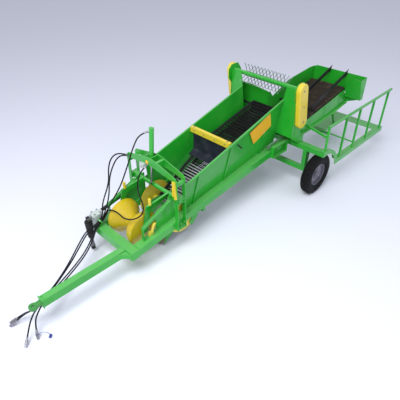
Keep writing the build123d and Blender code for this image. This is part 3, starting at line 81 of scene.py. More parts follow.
# node materials
class Shader:
    def __init__(self, name):
        self.material = bpy.data.materials.new(name)
        self.material.use_nodes = True
        self.tree = self.material.node_tree
        self.tree.nodes.clear()
        self.surface = self.add("BsdfPrincipled")
        self.add("OutputMaterial", {"Surface": self.surface.outputs["BSDF"]})

    def add(self, kind, values=None):
        node = self.tree.nodes.new("ShaderNode" + kind)
        self.put(node, values or {})
        return node

    def put(self, node, values):
        # each socket takes a value or another node's output
        for name, value in values.items():
            socket = node.inputs[name]
            if hasattr(value, "is_output"):
                self.tree.links.new(value, socket)
            elif socket.type == "RGBA":
                socket.default_value = (*value, 1)
            else:
                socket.default_value = value

    def coords(self, stretch=None):
        source = self.add("TexCoord").outputs["Object"]
        if stretch:
            source = self.add("Mapping", {"Scale": stretch, "Vector": source}).outputs["Vector"]
        return source

    def noise(self, scale, detail=4, roughness=0.55, stretch=None):
        values = {"Scale": scale, "Detail": detail, "Roughness": roughness, "Vector": self.coords(stretch)}
        return self.add("TexNoise", values).outputs["Fac"]

    def ramp(self, source, low, high):
        # 0 below low, 1 above high, with a soft step between
        node = self.add("MapRange", {"From Min": low, "From Max": high, "Value": source})
        node.interpolation_type = "SMOOTHSTEP"
        return node.outputs["Result"]

    def patches(self, values):
        # soft noise, as its dictionary says
        return self.ramp(self.noise(values["scale"], values["detail"], values["rough"]), *values["span"])

    def span(self, source, low, high):
        # spreads 0 to 1 over low to high
        return self.add("MapRange", {"To Min": low, "To Max": high, "Value": source}).outputs["Result"]

    def mix(self, share, first, second):
        node = self.add("Mix")
        node.data_type = "RGBA"
        self.put(node, {0: share, 6: first, 7: second})  # the factor and the colours A and B
        return node.outputs[2]

    def math(self, kind, first, second):
        node = self.add("Math", {0: first, 1: second})
        node.operation = kind
        return node.outputs[0]

    def rounded(self, radius):
        bevel = self.add("Bevel", {"Radius": radius})
        bevel.samples = 4
        return bevel.outputs["Normal"]

    def normal(self):
        return self.add("NewGeometry").outputs["Normal"]

    def worn(self, values):
        # strong where an edge is sharp
        dot = self.add("VectorMath", {0: self.rounded(values["edge"]), 1: self.normal()})
        dot.operation = "DOT_PRODUCT"
        return self.ramp(dot.outputs["Value"], *values["sharp"])

    def facing(self, axis):
        return self.add("SeparateXYZ", {0: self.normal()}).outputs[axis]

    def place(self, axis):
        return self.add("SeparateXYZ", {0: self.coords()}).outputs[axis]

    def bump(self, height, values):
        node = self.add("Bump", {"Height": height, "Normal": self.rounded(values["edge"])})
        self.put(node, {"Strength": values["strength"], "Distance": values["depth"]})
        self.put(self.surface, {"Normal": node.outputs["Normal"]})

    def finish(self, colour, roughness, metallic=0.0, coat=0.0, specular=0.5):
        values = {"Base Color": colour, "Roughness": roughness, "Metallic": metallic}
        self.put(self.surface, {**values, "Coat Weight": coat, "Specular IOR Level": specular})
        looks[self.material.name] = self.material


# machine enamel: soft fading, paler tops as a painted highlight on faces that look up, a little dust, chips
# on the edges, orange peel
enamel = {
    "bare": (0.30, 0.29, 0.27),
    "dust": (0.46, 0.42, 0.33),
    "coat": 0.35,
    "fade": {"scale": 1.4, "detail": 3, "rough": 0.55, "span": (0.35, 0.7)},
    # tops: where and how strongly the painted highlight pales the faces that look up
    "tops": {"span": (0.55, 0.97), "share": 0.75},
    "grime": {"scale": 8, "detail": 6, "rough": 0.7, "span": (0.46, 0.82), "tops": (0.5, 1.3), "dulls": 0.8},
    "chips": {"scale": 38, "detail": 5, "rough": 0.7, "span": (0.56, 0.64), "edge": 0.003,
              "sharp": (0.985, 0.80)},
    "peel": {"fine": 150, "fineShare": 0.35, "broad": 11, "detail": 2, "strength": 0.10, "depth": 0.002,
             "edge": 0.0035},
    "glossScale": 6,
}


def paint(name, base, pale, paintedTopHighlight=None, bare=enamel["bare"], dustShare=0.10, gloss=(0.24, 0.42)):
    s = Shader(name)
    fade, tops, grime, chips, peel = (enamel[key] for key in ("fade", "tops", "grime", "chips", "peel"))
    colour = s.mix(s.patches(fade), base, pale)
    # painted highlight: faces that look up turn paler
    if paintedTopHighlight:
        up = s.ramp(s.facing("Z"), *tops["span"])
        colour = s.mix(s.math("MULTIPLY", up, tops["share"]), colour, paintedTopHighlight)
    dirt = s.math("MULTIPLY", s.patches(grime), dustShare)
    dirt = s.math("MULTIPLY", dirt, s.span(s.facing("Z"), *grime["tops"]))
    colour = s.mix(dirt, colour, enamel["dust"])
    colour = s.mix(s.math("MULTIPLY", s.worn(chips), s.patches(chips)), colour, bare)
    uneven = s.span(s.noise(enamel["glossScale"]), *gloss)
    rough = s.math("ADD", uneven, s.math("MULTIPLY", dirt, grime["dulls"]))
    fine = s.math("MULTIPLY", s.noise(peel["fine"], peel["detail"]), peel["fineShare"])
    height = s.math("ADD", fine, s.noise(peel["broad"], peel["detail"]))
    s.bump(height, peel)
    s.finish(colour, rough, coat=enamel["coat"])


# rubber and plastic: dusty patches over a fine grain
moulded = {
    "dusty": {"scale": 5, "detail": 6, "rough": 0.65, "span": (0.42, 0.78)},
    "grain": {"finer": 6, "strength": 0.25, "depth": 0.0012, "edge": 0.002},
    "shine": 0.18,
}


def rubber(name, base, dusty, scale=30, gloss=(0.5, 0.8), dustShare=0.45):
    s = Shader(name)
    grain = moulded["grain"]
    colour = s.mix(s.math("MULTIPLY", s.patches(moulded["dusty"]), dustShare), base, dusty)
    s.bump(s.noise(scale * grain["finer"]), grain)
    s.finish(colour, s.span(s.noise(scale), *gloss), specular=moulded["shine"])


# bare metal: rust in patches, a brushed grain
metal = {
    "rust": {"scale": 11, "detail": 7, "rough": 0.7, "span": (0.48, 0.72), "dulls": 0.9},
    "brushed": {"scale": 60, "detail": 3, "rough": 0.5, "dark": 0.7},
    "scratches": {"scale": 90, "detail": 4, "rough": 0.6, "strength": 0.15, "depth": 0.001, "edge": 0.002},
    "metallic": 0.95,
    "glossScale": 17,
}


def steel(name, base, rust, rustShare=0.5, stretch=(1, 1, 1), gloss=(0.25, 0.55)):
    s = Shader(name)
    brushed, scratches = metal["brushed"], metal["scratches"]
    rusty = s.math("MULTIPLY", s.patches(metal["rust"]), rustShare)
    grain = s.noise(brushed["scale"], brushed["detail"], brushed["rough"], stretch)
    colour = s.mix(rusty, s.mix(grain, base, tuple(brushed["dark"] * part for part in base)), rust)
    s.bump(s.noise(scratches["scale"], scratches["detail"], scratches["rough"], stretch), scratches)
    metallic = s.math("SUBTRACT", metal["metallic"], s.math("MULTIPLY", rusty, metal["rust"]["dulls"]))
    s.finish(colour, s.span(s.noise(metal["glossScale"]), *gloss), metallic)


# web rods: bright where the soil rubs them at the lower end; near-black further up, partly their own dark
# tone and partly painted shade, and dark over the far half as a painted shadow of the far wall
rubbedRods = {
    "dark": (0.007, 0.008, 0.007),
    "soiled": (0.024, 0.024, 0.020),
    "polished": (0.720, 0.710, 0.780),
    "alongSpan": (0.42, 0.50),  # the x from and to which they turn bright
    "paintedShadowEdgeY": (-0.28, -0.20),  # the y from and to which they come out of the far wall's painted shadow
    "soil": {"scale": 7, "detail": 6, "rough": 0.7, "span": (0.40, 0.72), "share": 0.45},
    "rubbing": {"scale": 25, "detail": 3, "span": (0.6, 1.0), "metallic": 0.6},
    "pits": {"scale": 90, "strength": 0.2, "depth": 0.001, "edge": 0.002},
    "gloss": (0.35, 0.65),
    "glossScale": 13,
    "shine": 0.25,
}


def webLook(name):
    s = Shader(name)
    rods = rubbedRods
    soil, rubbing, pits = rods["soil"], rods["rubbing"], rods["pits"]
    colour = s.mix(s.math("MULTIPLY", s.patches(soil), soil["share"]), rods["dark"], rods["soiled"])
    # painted shadow: only the near side turns bright, and the far half stays dark as if shaded by the far
    # wall
    lowerEnd, outsidePaintedShadow = s.ramp(s.place("X"), *rods["alongSpan"]), s.ramp(s.place("Y"), *rods["paintedShadowEdgeY"])
    uneven = s.span(s.noise(rubbing["scale"], rubbing["detail"]), *rubbing["span"])
    rubbedAndUnshaded = s.math("MULTIPLY", s.math("MULTIPLY", lowerEnd, outsidePaintedShadow), uneven)
    colour = s.mix(rubbedAndUnshaded, colour, rods["polished"])
    s.bump(s.noise(pits["scale"]), pits)
    rough = s.span(s.noise(rods["glossScale"]), *rods["gloss"])
    s.finish(colour, rough, s.math("MULTIPLY", rubbedAndUnshaded, rubbing["metallic"]), specular=rods["shine"])


# greenPaint's third colour is its painted highlight on the tops
paint("greenPaint", (0.008, 0.345, 0.016), (0.022, 0.410, 0.026), (0.110, 0.440, 0.110))
paint("wornGreen", (0.020, 0.230, 0.030), (0.050, 0.280, 0.050), bare=(0.200, 0.190, 0.180),
      dustShare=0.3, gloss=(0.40, 0.60))
paint("yellowPaint", (0.740, 0.560, 0.025), (0.790, 0.640, 0.070))
paint("rollerPaint", (0.580, 0.425, 0.003), (0.520, 0.370, 0.002))
paint("orangePaint", (0.860, 0.380, 0.010), (0.880, 0.520, 0.030))
paint("rimPaint", (0.150, 0.150, 0.190), (0.105, 0.105, 0.135), dustShare=0.2)
rubber("tyreRubber", (0.004, 0.004, 0.005), (0.016, 0.015, 0.015), gloss=(0.55, 0.85))
rubber("beltRubber", (0.035, 0.026, 0.020), (0.110, 0.080, 0.055), 24, dustShare=0.7)
rubber("blackRubber", (0.012, 0.013, 0.017), (0.050, 0.048, 0.045))
rubber("hoseRubber", (0.010, 0.010, 0.012), (0.045, 0.043, 0.040), 60, (0.35, 0.55), 0.3)
rubber("curtainRubber", (0.016, 0.019, 0.032), (0.070, 0.072, 0.085), 20, (0.3, 0.5))
rubber("blackPlastic", (0.014, 0.014, 0.016), (0.060, 0.056, 0.050), 18, (0.3, 0.5))
paint("bluePlastic", (0.010, 0.030, 0.210), (0.015, 0.040, 0.260))
paint("greyCasting", (0.560, 0.620, 0.600), (0.440, 0.520, 0.490))
steel("bareSteel", (0.420, 0.400, 0.420), (0.150, 0.080, 0.045))
steel("brightSteel", (0.400, 0.400, 0.440), (0.180, 0.170, 0.160), 0.25)
steel("tineSteel", (0.300, 0.380, 0.320), (0.120, 0.130, 0.100), 0.4)
steel("chrome", (0.380, 0.400, 0.390), (0.200, 0.190, 0.170), 0.1, (1, 1, 12), (0.08, 0.2))
webLook("webSteel")
# darkRods: near-black, partly painted shade for the web's gaps
steel("darkRods", (0.008, 0.009, 0.008), (0.026, 0.022, 0.018), 0.6, gloss=(0.45, 0.75))

# which look the part's own pieces take, by their material slot or by their name
slotLooks = {
    "green_paint": "greenPaint",
    "yellow_paint": "yellowPaint",
    "roller_paint": "rollerPaint",
    "rim_paint": "rimPaint",
    "tyre_rubber": "tyreRubber",
    "black_rubber": "blackRubber",
    "black_plastic": "blackPlastic",
    "blue_plastic": "bluePlastic",
    "grey_casting": "greyCasting",
    "steel": "bareSteel",
}
ownLooks = {
    "picking_belt": "beltRubber",
    "trough_web": "blackRubber",
    "web_rollers": "blackRubber",
    "tined_rotor": "tineSteel",
    "lift_rod": "chrome",
    "drawbar_eye": "wornGreen",
}
for part in frame["record"]["subparts"]:
    name = part["node"]
    mesh = nodes[name].data
    mesh.materials.clear()
    mesh.materials.append(looks[ownLooks.get(name, slotLooks[part["material_slot"]])])
print("materials on", len(nodes), "nodes")


# mesh building
def along(place, direction):
    # stands at the place, with its own z axis in the direction
    return Matrix.Translation(place) @ Vector(direction).to_track_quat("Z", "Y").to_matrix().to_4x4()


def lathe(bm, profile, where, segments=24, turn=0.0):
    # (radius, distance) pairs turned about the direction; a radius of 0 closes the end
    rings = []
    for radius, distance in profile:
        if radius == 0:
            rings.append([bm.verts.new(where @ Vector((0, 0, distance)))])
            continue
        ring = []
        for k in range(segments):
            angle = turn + 2 * math.pi * k / segments
            spot = Vector((radius * math.cos(angle), radius * math.sin(angle), distance))
            ring.append(bm.verts.new(where @ spot))
        rings.append(ring)
    for first, second in zip(rings, rings[1:]):
        for k in range(segments):
            n = (k + 1) % segments
            corners = [row[j % len(row)] for row, j in ((first, k), (first, n), (second, n), (second, k))]
            unique = list(dict.fromkeys(corners))
            if len(unique) > 2:
                bm.faces.new(unique)


def turned(profile, where, segments):
    bm = bmesh.new()
    lathe(bm, profile, where, segments)
    return bm


def spoke(angle, radius):
    # a place round a wheel, from its top
    return Vector((radius * math.sin(angle), 0, radius * math.cos(angle)))


def piece(name, bm, look, body="machine", sharp=35):
    # sharp is the angle in degrees past which an edge stays hard
    bmesh.ops.recalc_face_normals(bm, faces=bm.faces)
    mesh = bpy.data.meshes.new(name)
    bm.to_mesh(mesh)
    bm.free()
    for face in mesh.polygons:
        face.use_smooth = True
    mesh.set_sharp_from_angle(angle=math.radians(sharp))
    mesh.materials.append(looks[look])
    made = bpy.data.objects.new(name, mesh)
    bpy.context.scene.collection.objects.link(made)
    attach(made, body)
    return made


headShape = {"washer": 0.22, "outer": 1.3, "top": 1.2, "rim": 0.154, "edge": 0.75, "chamfer": 0.84,
             "height": 0.92}


def bolt(bm, place, direction, size, turn=0.0):
    # a washer and a hexagon head with a chamfered top; size is half the width over the corners
    where = along(place, direction)
    washer, outer, top, rim, edge, chamfer, height = (share * size for share in headShape.values())
    lathe(bm, [(0, 0), (outer, 0), (outer, rim), (top, washer), (0, washer)], where, 20)
    lathe(bm, [(size, washer), (size, edge), (chamfer, height), (0, height)], where, 6, turn)


def slab(bm, corners, direction, thickness, edge):
    # a plate from its outline, standing out along the direction, with a chamfered rim
    direction = Vector(direction).normalized()
    middle = sum(corners, Vector()) / len(corners)
    rims = [
        corners,
        [corner + direction * (thickness - edge) for corner in corners],
        [corner + direction * thickness + (middle - corner).normalized() * edge for corner in corners],
    ]
    rings = [[bm.verts.new(corner) for corner in rim] for rim in rims]
    for low, high in zip(rings, rings[1:]):
        for k in range(len(corners)):
            n = (k + 1) % len(corners)
            bm.faces.new([low[k], low[n], high[n], high[k]])
    bm.faces.new(rings[-1])
    bm.faces.new(rings[0][::-1])


def roundedOutline(corners, radius, steps=5):
    # the same outline with its corners rounded
    outline = []
    for k, corner in enumerate(corners):
        before = (corners[k - 1] - corner).normalized() * radius
        after = (corners[(k + 1) % len(corners)] - corner).normalized() * radius
        for step in range(steps + 1):
            t = step / steps
            outline.append(corner + before * (1 - t) ** 2 + after * t ** 2)
    return outline


# hydraulic hoses: profiles in (radius, distance) from the hose's end, routes from fitting to coupling
hose = {
    "diameter": 0.020,
    "ferrule": {"length": 0.02232, "rings": 5,
                "ring": [(0.012555, 0), (0.0135, 0.3), (0.0135, 0.7), (0.012555, 1)]},
    "hexagon": [(0, 0.02232), (0.016875, 0.02232), (0.016875, 0.036), (0, 0.036)],
    "collar": [(0, 0.036), (0.016, 0.036), (0.019, 0.039), (0.019, 0.052), (0.017, 0.054), (0.017, 0.060),
               (0.019, 0.062), (0.019, 0.089), (0.016, 0.092), (0, 0.092)],
    "nose": [(0, 0.092), (0.015, 0.092), (0.015, 0.118), (0.013, 0.120), (0.00825, 0.120), (0.00825, 0.110),
             (0, 0.110)],
    "crimp": [(0, 0), (0.0125, 0), (0.01325, 0.004), (0.01325, 0.0135), (0.01225, 0.0162), (0.01325, 0.0189),
              (0.01325, 0.041), (0.011875, 0.045), (0, 0.045)],
    "nut": [(0, -0.022), (0.0165, -0.022), (0.0165, -0.001), (0, -0.001)],
    "stubNut": [(0, -0.042), (0.0155, -0.042), (0.0155, -0.026), (0.014, -0.022), (0, -0.022)],
    "stubNutTurn": 0.3,
}
hoseRoutes = {
    "mast": [
        (2.792, -0.096, 1.812), (2.890, -0.150, 1.790), (2.987, -0.176, 1.640), (3.076, -0.190, 1.440),
        (3.162, -0.212, 1.245), (3.248, -0.234, 1.065), (3.345, -0.266, 0.915), (3.448, -0.300, 0.770),
        (3.528, -0.332, 0.612), (3.712, -0.332, 0.510), (3.840, -0.268, 0.392), (4.040, -0.180, 0.304),
        (4.300, -0.066, 0.278), (4.560, 0.052, 0.286), (4.777, 0.166, 0.318), (4.935, 0.244, 0.332),
        (5.035, 0.274, 0.312), (5.112, 0.290, 0.238), (5.168, 0.300, 0.142), (5.234, 0.361, 0.085),
    ],
    "bulkhead": [
        (2.888, -0.062, 1.322), (2.985, -0.068, 1.270), (3.022, -0.098, 1.150), (3.040, -0.118, 1.020),
        (3.080, -0.045, 0.905), (3.125, 0.098, 0.856), (3.228, 0.236, 0.856), (3.350, 0.318, 0.862),
        (3.474, 0.282, 0.858), (3.514, 0.150, 0.834), (3.482, 0.000, 0.814), (3.476, -0.150, 0.796),
        (3.492, -0.270, 0.742), (3.530, -0.306, 0.612), (3.712, -0.306, 0.510), (3.832, -0.244, 0.385),
        (4.032, -0.156, 0.290), (4.298, -0.046, 0.256), (4.564, 0.074, 0.262), (4.777, 0.166, 0.290),
        (4.933, 0.246, 0.306), (5.000, 0.275, 0.268), (5.075, 0.297, 0.188), (5.108, 0.358, 0.108),
    ],
    "archOuter": [
        (2.897, -0.527, 1.318), (3.000, -0.512, 1.392), (3.125, -0.474, 1.436), (3.230, -0.444, 1.400),
        (3.292, -0.424, 1.275), (3.312, -0.414, 1.135), (3.372, -0.398, 1.005), (3.455, -0.376, 0.905),
        (3.530, -0.350, 0.790), (3.552, -0.332, 0.635), (3.708, -0.332, 0.540), (3.862, -0.330, 0.530),
        (4.060, -0.232, 0.470), (4.280, -0.112, 0.392), (4.530, 0.016, 0.332), (4.792, 0.146, 0.318),
        (4.945, 0.214, 0.332), (5.044, 0.210, 0.288), (5.084, 0.138, 0.214), (5.118, 0.062, 0.138),
        (5.206, 0.034, 0.084),
    ],
    "archInner": [
        (2.897, -0.495, 1.318), (3.002, -0.478, 1.376), (3.120, -0.444, 1.378), (3.218, -0.410, 1.312),
        (3.298, -0.384, 1.215), (3.352, -0.362, 1.085), (3.384, -0.346, 0.945), (3.450, -0.324, 0.815),
        (3.530, -0.306, 0.700), (3.576, -0.306, 0.622), (3.704, -0.306, 0.548), (3.862, -0.306, 0.512),
        (4.056, -0.210, 0.446), (4.274, -0.104, 0.366), (4.530, 0.008, 0.304), (4.792, 0.144, 0.290),
        (4.937, 0.206, 0.303), (5.026, 0.190, 0.260), (5.060, 0.114, 0.192), (5.090, 0.028, 0.118),
        (5.180, -0.006, 0.074),
    ],
}
hoseNodes = {
    "mast": "hose_mast",
    "bulkhead": "hose_bulkhead",
    "archOuter": "hose_arch_outer",
    "archInner": "hose_arch_inner",
}
hoseStarts = {"mast": "lift_cylinder"}  # the body that a hose's fitting rides on, where it isn't the machine


def hoseCurve(name, points):
    curve = bpy.data.curves.new(name, "CURVE")
    curve.dimensions = "3D"
    curve.bevel_depth = hose["diameter"] / 2
    curve.bevel_resolution = 5
    curve.resolution_u = 8
    curve.use_fill_caps = True
    spline = curve.splines.new("NURBS")
    spline.points.add(len(points) - 1)
    for point, place in zip(spline.points, points):
        point.co = (*place, 1)
    spline.order_u = 3
    spline.use_endpoint_u = True
    curve.materials.append(looks["hoseRubber"])
    made = bpy.data.objects.new(name, curve)
    bpy.context.scene.collection.objects.link(made)
    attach(made, "machine")
    return made


def coupling(name, end, direction):
    # crimped ferrule, hexagon, grooved sliding collar and a nose with its recess
    bm = bmesh.new()
    where = along(end, direction)
    ferrule = hose["ferrule"]
    step = ferrule["length"] / ferrule["rings"]
    profile = [(0, 0)]
    for k in range(ferrule["rings"]):
        profile += [(radius, step * (k + share)) for radius, share in ferrule["ring"]]
    lathe(bm, profile + [(0, ferrule["length"])], where, 28)
    for key, segments in (("hexagon", 6), ("collar", 36), ("nose", 28)):
        lathe(bm, hose[key], where, segments)
    return piece(name, bm, "brightSteel")


def crimp(name, start, direction, body):
    # the ferrule that holds the hose to its fitting, and the fitting's nuts over the stub
    bm = bmesh.new()
    where = along(start, direction)
    lathe(bm, hose["crimp"], where, 28)
    lathe(bm, hose["nut"], where, 6)
    lathe(bm, hose["stubNut"], where, 6, hose["stubNutTurn"])
    piece(name, bm, "brightSteel", body)


for name, route in hoseRoutes.items():
    points = [at(*point) for point in route]
    tube = hoseCurve("hose_" + name, points)
    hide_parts(hoseNodes[name])
    ending = coupling("coupling_" + name, points[-1], points[-1] - points[-2])
    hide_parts("hose_couplings")
    crimp("crimp_" + name, points[0], points[1] - points[0], hoseStarts.get(name, "machine"))
print("hoses", len(hoseRoutes))


# wheels: tyres with a block tread, wheel nuts, valves and hub caps
wheel = {
    "halfTrack": 1.090,
    "radius": 0.380,
    "width": 0.180,
    "seat": 0.2033,
    "lugs": 26,
    "stepsPerLug": 10,
    "treadHalf": 0.07,
    "cutFrom": 0.360,
    "cutDepth": 0.009,
    "cutShare": 0.28,
    "slant": 0.45,
    "centreRib": 0.012,
    "ringGroove": (0.019, 0.026),
    "nuts": 5,
    "nutCircle": 0.080,
    "nutSize": 0.013,
    "nutTurn": 0.3,
    "valveAngle": 1.0,
    "valveCircle": 0.172,
    "valveOut": 0.018,
    "valve": [(0, 0), (0.006, 0), (0.0055, 0.014), (0.0040, 0.016), (0.0040, 0.030), (0, 0.032)],
    "capOut": 0.040,
    "cap": [(0, 0), (0.0375, 0), (0.0375, 0.010), (0.0335, 0.012), (0.0335, 0.024), (0.031, 0.029),
            (0.024, 0.0325), (0.012, 0.0345), (0, 0.035)],
}


def tyreSection():
    # (radius, outward) from the bead over the sidewall to the middle of the tread
    height = wheel["radius"] - wheel["seat"]
    half = wheel["width"] / 2
    shares = [
        (0.00, 0.058), (0.03, 0.064), (0.06, 0.0665), (0.09, 0.0665), (0.12, 0.0700), (0.15, 0.0720),
        (0.165, 0.0740), (0.18, 0.0745), (0.20, 0.0760), (0.26, 0.0810), (0.34, 0.0855), (0.42, 0.0880),
        (0.435, 0.0893), (0.455, 0.0895), (0.47, 0.0888), (0.52, half), (0.60, half - 0.0003),
        (0.68, half - 0.0022), (0.74, half - 0.005), (0.80, half - 0.0095), (0.85, half - 0.0125),
        (0.90, half - 0.018), (0.935, half - 0.025), (0.965, half - 0.031), (0.985, half - 0.038),
        (0.9935, half - 0.045), (1.0, half - 0.052), (1.0, 0.030), (1.0, 0.0225), (1.0, 0.0150),
        (1.0, 0.0075), (1.0, 0.0),
    ]
    return [(wheel["seat"] + share * height, out) for share, out in shares]


def treadCut(radius, out, lug):
    # how deep the tread is cut there: slanting gaps between the blocks, and a groove round each side
    if radius <= wheel["cutFrom"]:
        return 0.0
    slant = (lug + wheel["slant"] * abs(out) / wheel["treadHalf"] + (0.5 if out < 0 else 0)) % 1
    gap = slant < wheel["cutShare"] and abs(out) > wheel["centreRib"]
    low, high = wheel["ringGroove"]
    return wheel["cutDepth"] if gap or low < abs(out) < high else 0.0


def tyre(side):
    half = tyreSection()
    section = [(radius, -out) for radius, out in half] + [(radius, out) for radius, out in half[-2::-1]]
    steps = wheel["lugs"] * wheel["stepsPerLug"]
    bm = bmesh.new()
    middle = at(0, side * wheel["halfTrack"], wheel["radius"])
    rings = []
    for k in range(steps):
        angle = 2 * math.pi * k / steps
        ring = []
        for radius, out in section:
            deep = treadCut(radius, out, k / wheel["stepsPerLug"])
            ring.append(bm.verts.new(middle + spoke(angle, radius - deep) + Vector((0, out, 0))))
        rings.append(ring)
    count = len(section)
    for k in range(steps):
        n = (k + 1) % steps
        for j in range(count - 1):
            bm.faces.new([rings[k][j], rings[k][j + 1], rings[n][j + 1], rings[n][j]])
        bm.faces.new([rings[k][0], rings[n][0], rings[n][-1], rings[k][-1]])
    return bm


def wheelNuts(side):
    bm = bmesh.new()
    outward = Vector((0, side, 0))
    middle = at(0, side * wheel["halfTrack"], wheel["radius"])
    for k in range(wheel["nuts"]):
        angle = 2 * math.pi * k / wheel["nuts"] + wheel["nutTurn"]
        bolt(bm, middle + spoke(angle, wheel["nutCircle"]), outward, wheel["nutSize"], k)
    foot = middle + spoke(wheel["valveAngle"], wheel["valveCircle"]) + outward * wheel["valveOut"]
    lathe(bm, wheel["valve"], along(foot, outward), 14)
    return bm


def hubCap(side):
    middle = at(0, side * (wheel["halfTrack"] + wheel["capOut"]), wheel["radius"])
    return turned(wheel["cap"], along(middle, (0, side, 0)), 40)


for name, side in (("left", 1), ("right", -1)):
    rides = "wheel_" + name
    made = piece("treadTyre_" + name, tyre(side), "tyreRubber", rides, 28)
    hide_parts("tyre_" + name)
    piece("wheelNuts_" + name, wheelNuts(side), "brightSteel", rides)
    piece("hubCap_" + name, hubCap(side), "rimPaint", rides)
print("wheels")


# round rods over and between the frame's own, as close as on real webs; the near-black ones between also
# serve as painted shade, closing the gaps where the web's shaded underside would show
trough = {"path": [(2.430, 0.440), (1.300, 1.060), (0.150, 1.330)], "radius": 0.065, "across": (-0.3, 0.3),
          "pitch": 0.050}
table = {"path": [(0.020, 1.205), (-1.370, 1.4413)], "radius": 0.041, "across": (-0.0255, 0.6555),
         "pitch": 0.030}
webs = {
    "trough": {**trough, "phase": 0, "rod": 0.0075, "look": "webSteel", "slot": "steel"},
    # painted shade: near-black rods between the others close the web's see-through gaps
    "troughBetween": {**trough, "phase": 0.5, "rod": 0.0062, "look": "darkRods", "slot": "steel"},
    "table": {**table, "phase": 0, "rod": 0.0085, "look": "beltRubber", "slot": "black_rubber"},
}
endSteps = 12


def loopLine(path, radius):
    # the side view of a belt round its rollers, as a closed line of points
    path = [Vector((x, 0, z)) for x, z in path]
    shifts = []
    for k in range(len(path)):
        runs = [path[j + 1] - path[j] for j in (k - 1, k) if 0 <= j < len(path) - 1]
        normal = sum((Vector((-run.z, 0, run.x)).normalized() for run in runs), Vector())
        shifts.append(normal * (radius * len(runs) / normal.length_squared))
    under = [point + shift for point, shift in zip(path, shifts)]
    over = [point - shift for point, shift in zip(path, shifts)]

    def roundEnd(middle, start):
        turns = [Matrix.Rotation(math.pi * step / endSteps, 3, "Y") for step in range(1, endSteps)]
        return [middle + turn @ (start - middle) for turn in turns]

    return under + roundEnd(path[-1], under[-1]) + over[::-1] + roundEnd(path[0], over[0]) + under[:1]


def spacedAlong(line, count, phase):
    lengths = [0.0]
    for before, after in zip(line, line[1:]):
        lengths.append(lengths[-1] + (after - before).length)
    spots, k = [], 0
    for index in range(count):
        goal = lengths[-1] * (index + phase) / count
        while lengths[k + 1] < goal:
            k += 1
        share = (goal - lengths[k]) / (lengths[k + 1] - lengths[k])
        spots.append(line[k].lerp(line[k + 1], share))
    return spots


def webRods(values):
    line = loopLine(values["path"], values["radius"])
    length = sum((after - before).length for before, after in zip(line, line[1:]))
    bm = bmesh.new()
    low, high = values["across"]
    radius = values["rod"]
    for spot in spacedAlong(line, round(length / values["pitch"]), values["phase"]):
        where = along(at(spot.x, low, spot.z), (0, 1, 0))
        lathe(bm, [(0, 0), (radius, 0), (radius, high - low), (0, high - low)], where, 10)
    return bm


for name, values in webs.items():
    piece("webRods_" + name, webRods(values), values["look"])
print("web rods")


# rubber curtain with soft folds, clamped under the cross bar
curtain = {
    "x": 1.624,
    "top": 1.283,
    "drop": 0.304,
    "laid": 0.130,
    "bend": 0.050,
    "webSlope": (0.877, -0.481),
    "halfWidth": 0.381,
    "taper": 0.012,
    "slack": 1.02,
    "folds": 3.2,
    "foldDepth": 0.011,
    "foldsFrom": 1.6,
    "foldsGrow": 1.2,
    "foldsLean": 0.9,
    "laidFlat": 0.75,
    "ripple": {"share": 0.45, "rate": 17, "start": 2},
    "thickness": 0.006,
    "across": 96,
    "down": 36,
}


def curtainPath(run):
    # it hangs from the bar, bends and lies forward on the web; gives the spot and the side it faces
    slopeX, slopeZ = curtain["webSlope"]
    turn = math.acos(-slopeZ)
    reach = curtain["bend"] * math.tan(turn / 2)
    arc = curtain["bend"] * turn
    hung = curtain["drop"] - reach
    if run <= hung:
        return curtain["x"], curtain["top"] - run, 0.0
    if run <= hung + arc:
        part = (run - hung) / curtain["bend"]
        x = curtain["x"] + curtain["bend"] * (1 - math.cos(part))
        return x, curtain["top"] - hung - curtain["bend"] * math.sin(part), part
    past = run - hung - arc + reach
    return curtain["x"] + slopeX * past, curtain["top"] - curtain["drop"] + slopeZ * past, turn


def curtainFold(u, fall, turn):
    # how far it waves out of its plane; the folds grow as it falls and flatten where it lies
    c, ripple = curtain, curtain["ripple"]
    depth = c["foldDepth"] * min(1, (fall * c["foldsFrom"]) ** c["foldsGrow"])
    depth *= 1 - c["laidFlat"] * math.sin(turn)
    wave = math.sin(2 * math.pi * c["folds"] * u + c["foldsLean"] * fall)
    return depth * (wave + ripple["share"] * math.sin(ripple["rate"] * u + ripple["start"]))


def curtainMesh():
    bm = bmesh.new()
    c = curtain
    length = c["drop"] + c["laid"]
    sheets = []
    for face in (-1, 1):
        rows = []
        for j in range(c["down"] + 1):
            fall = j / c["down"]
            x, z, turn = curtainPath(fall * length)
            half = c["halfWidth"] - c["taper"] * fall
            row = []
            for i in range(c["across"] + 1):
                u = i / c["across"]
                out = curtainFold(u, fall, turn) + face * c["thickness"] / 2
                spot = at(x + out * math.cos(turn), (2 * u - 1) * half, z + out * math.sin(turn))
                row.append(bm.verts.new(spot))
            rows.append(row)
        sheets.append(rows)
    for rows in sheets:
        for low, high in zip(rows, rows[1:]):
            for i in range(c["across"]):
                bm.faces.new([low[i], low[i + 1], high[i + 1], high[i]])
    rear, front = sheets
    for i in range(c["across"]):
        for j in (0, c["down"]):
            bm.faces.new([rear[j][i], rear[j][i + 1], front[j][i + 1], front[j][i]])
    for j in range(c["down"]):
        for i in (0, c["across"]):
            bm.faces.new([rear[j][i], rear[j + 1][i], front[j + 1][i], front[j][i]])
    return bm


folded = piece("foldedCurtain", curtainMesh(), "curtainRubber", sharp=60)
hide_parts("rubber_curtain")
print("curtain")


# near trough panel: blank label plate on spacers, a dark plate as painted shade for the slot, and rod;
# places in (x, z)
wall = {"frontX": 2.620, "top": 1.085, "slope": 0.268, "half": 0.440, "flare": 0.12}
panelFacing = Vector((-wall["flare"] * wall["slope"], 1, -wall["flare"])).normalized()


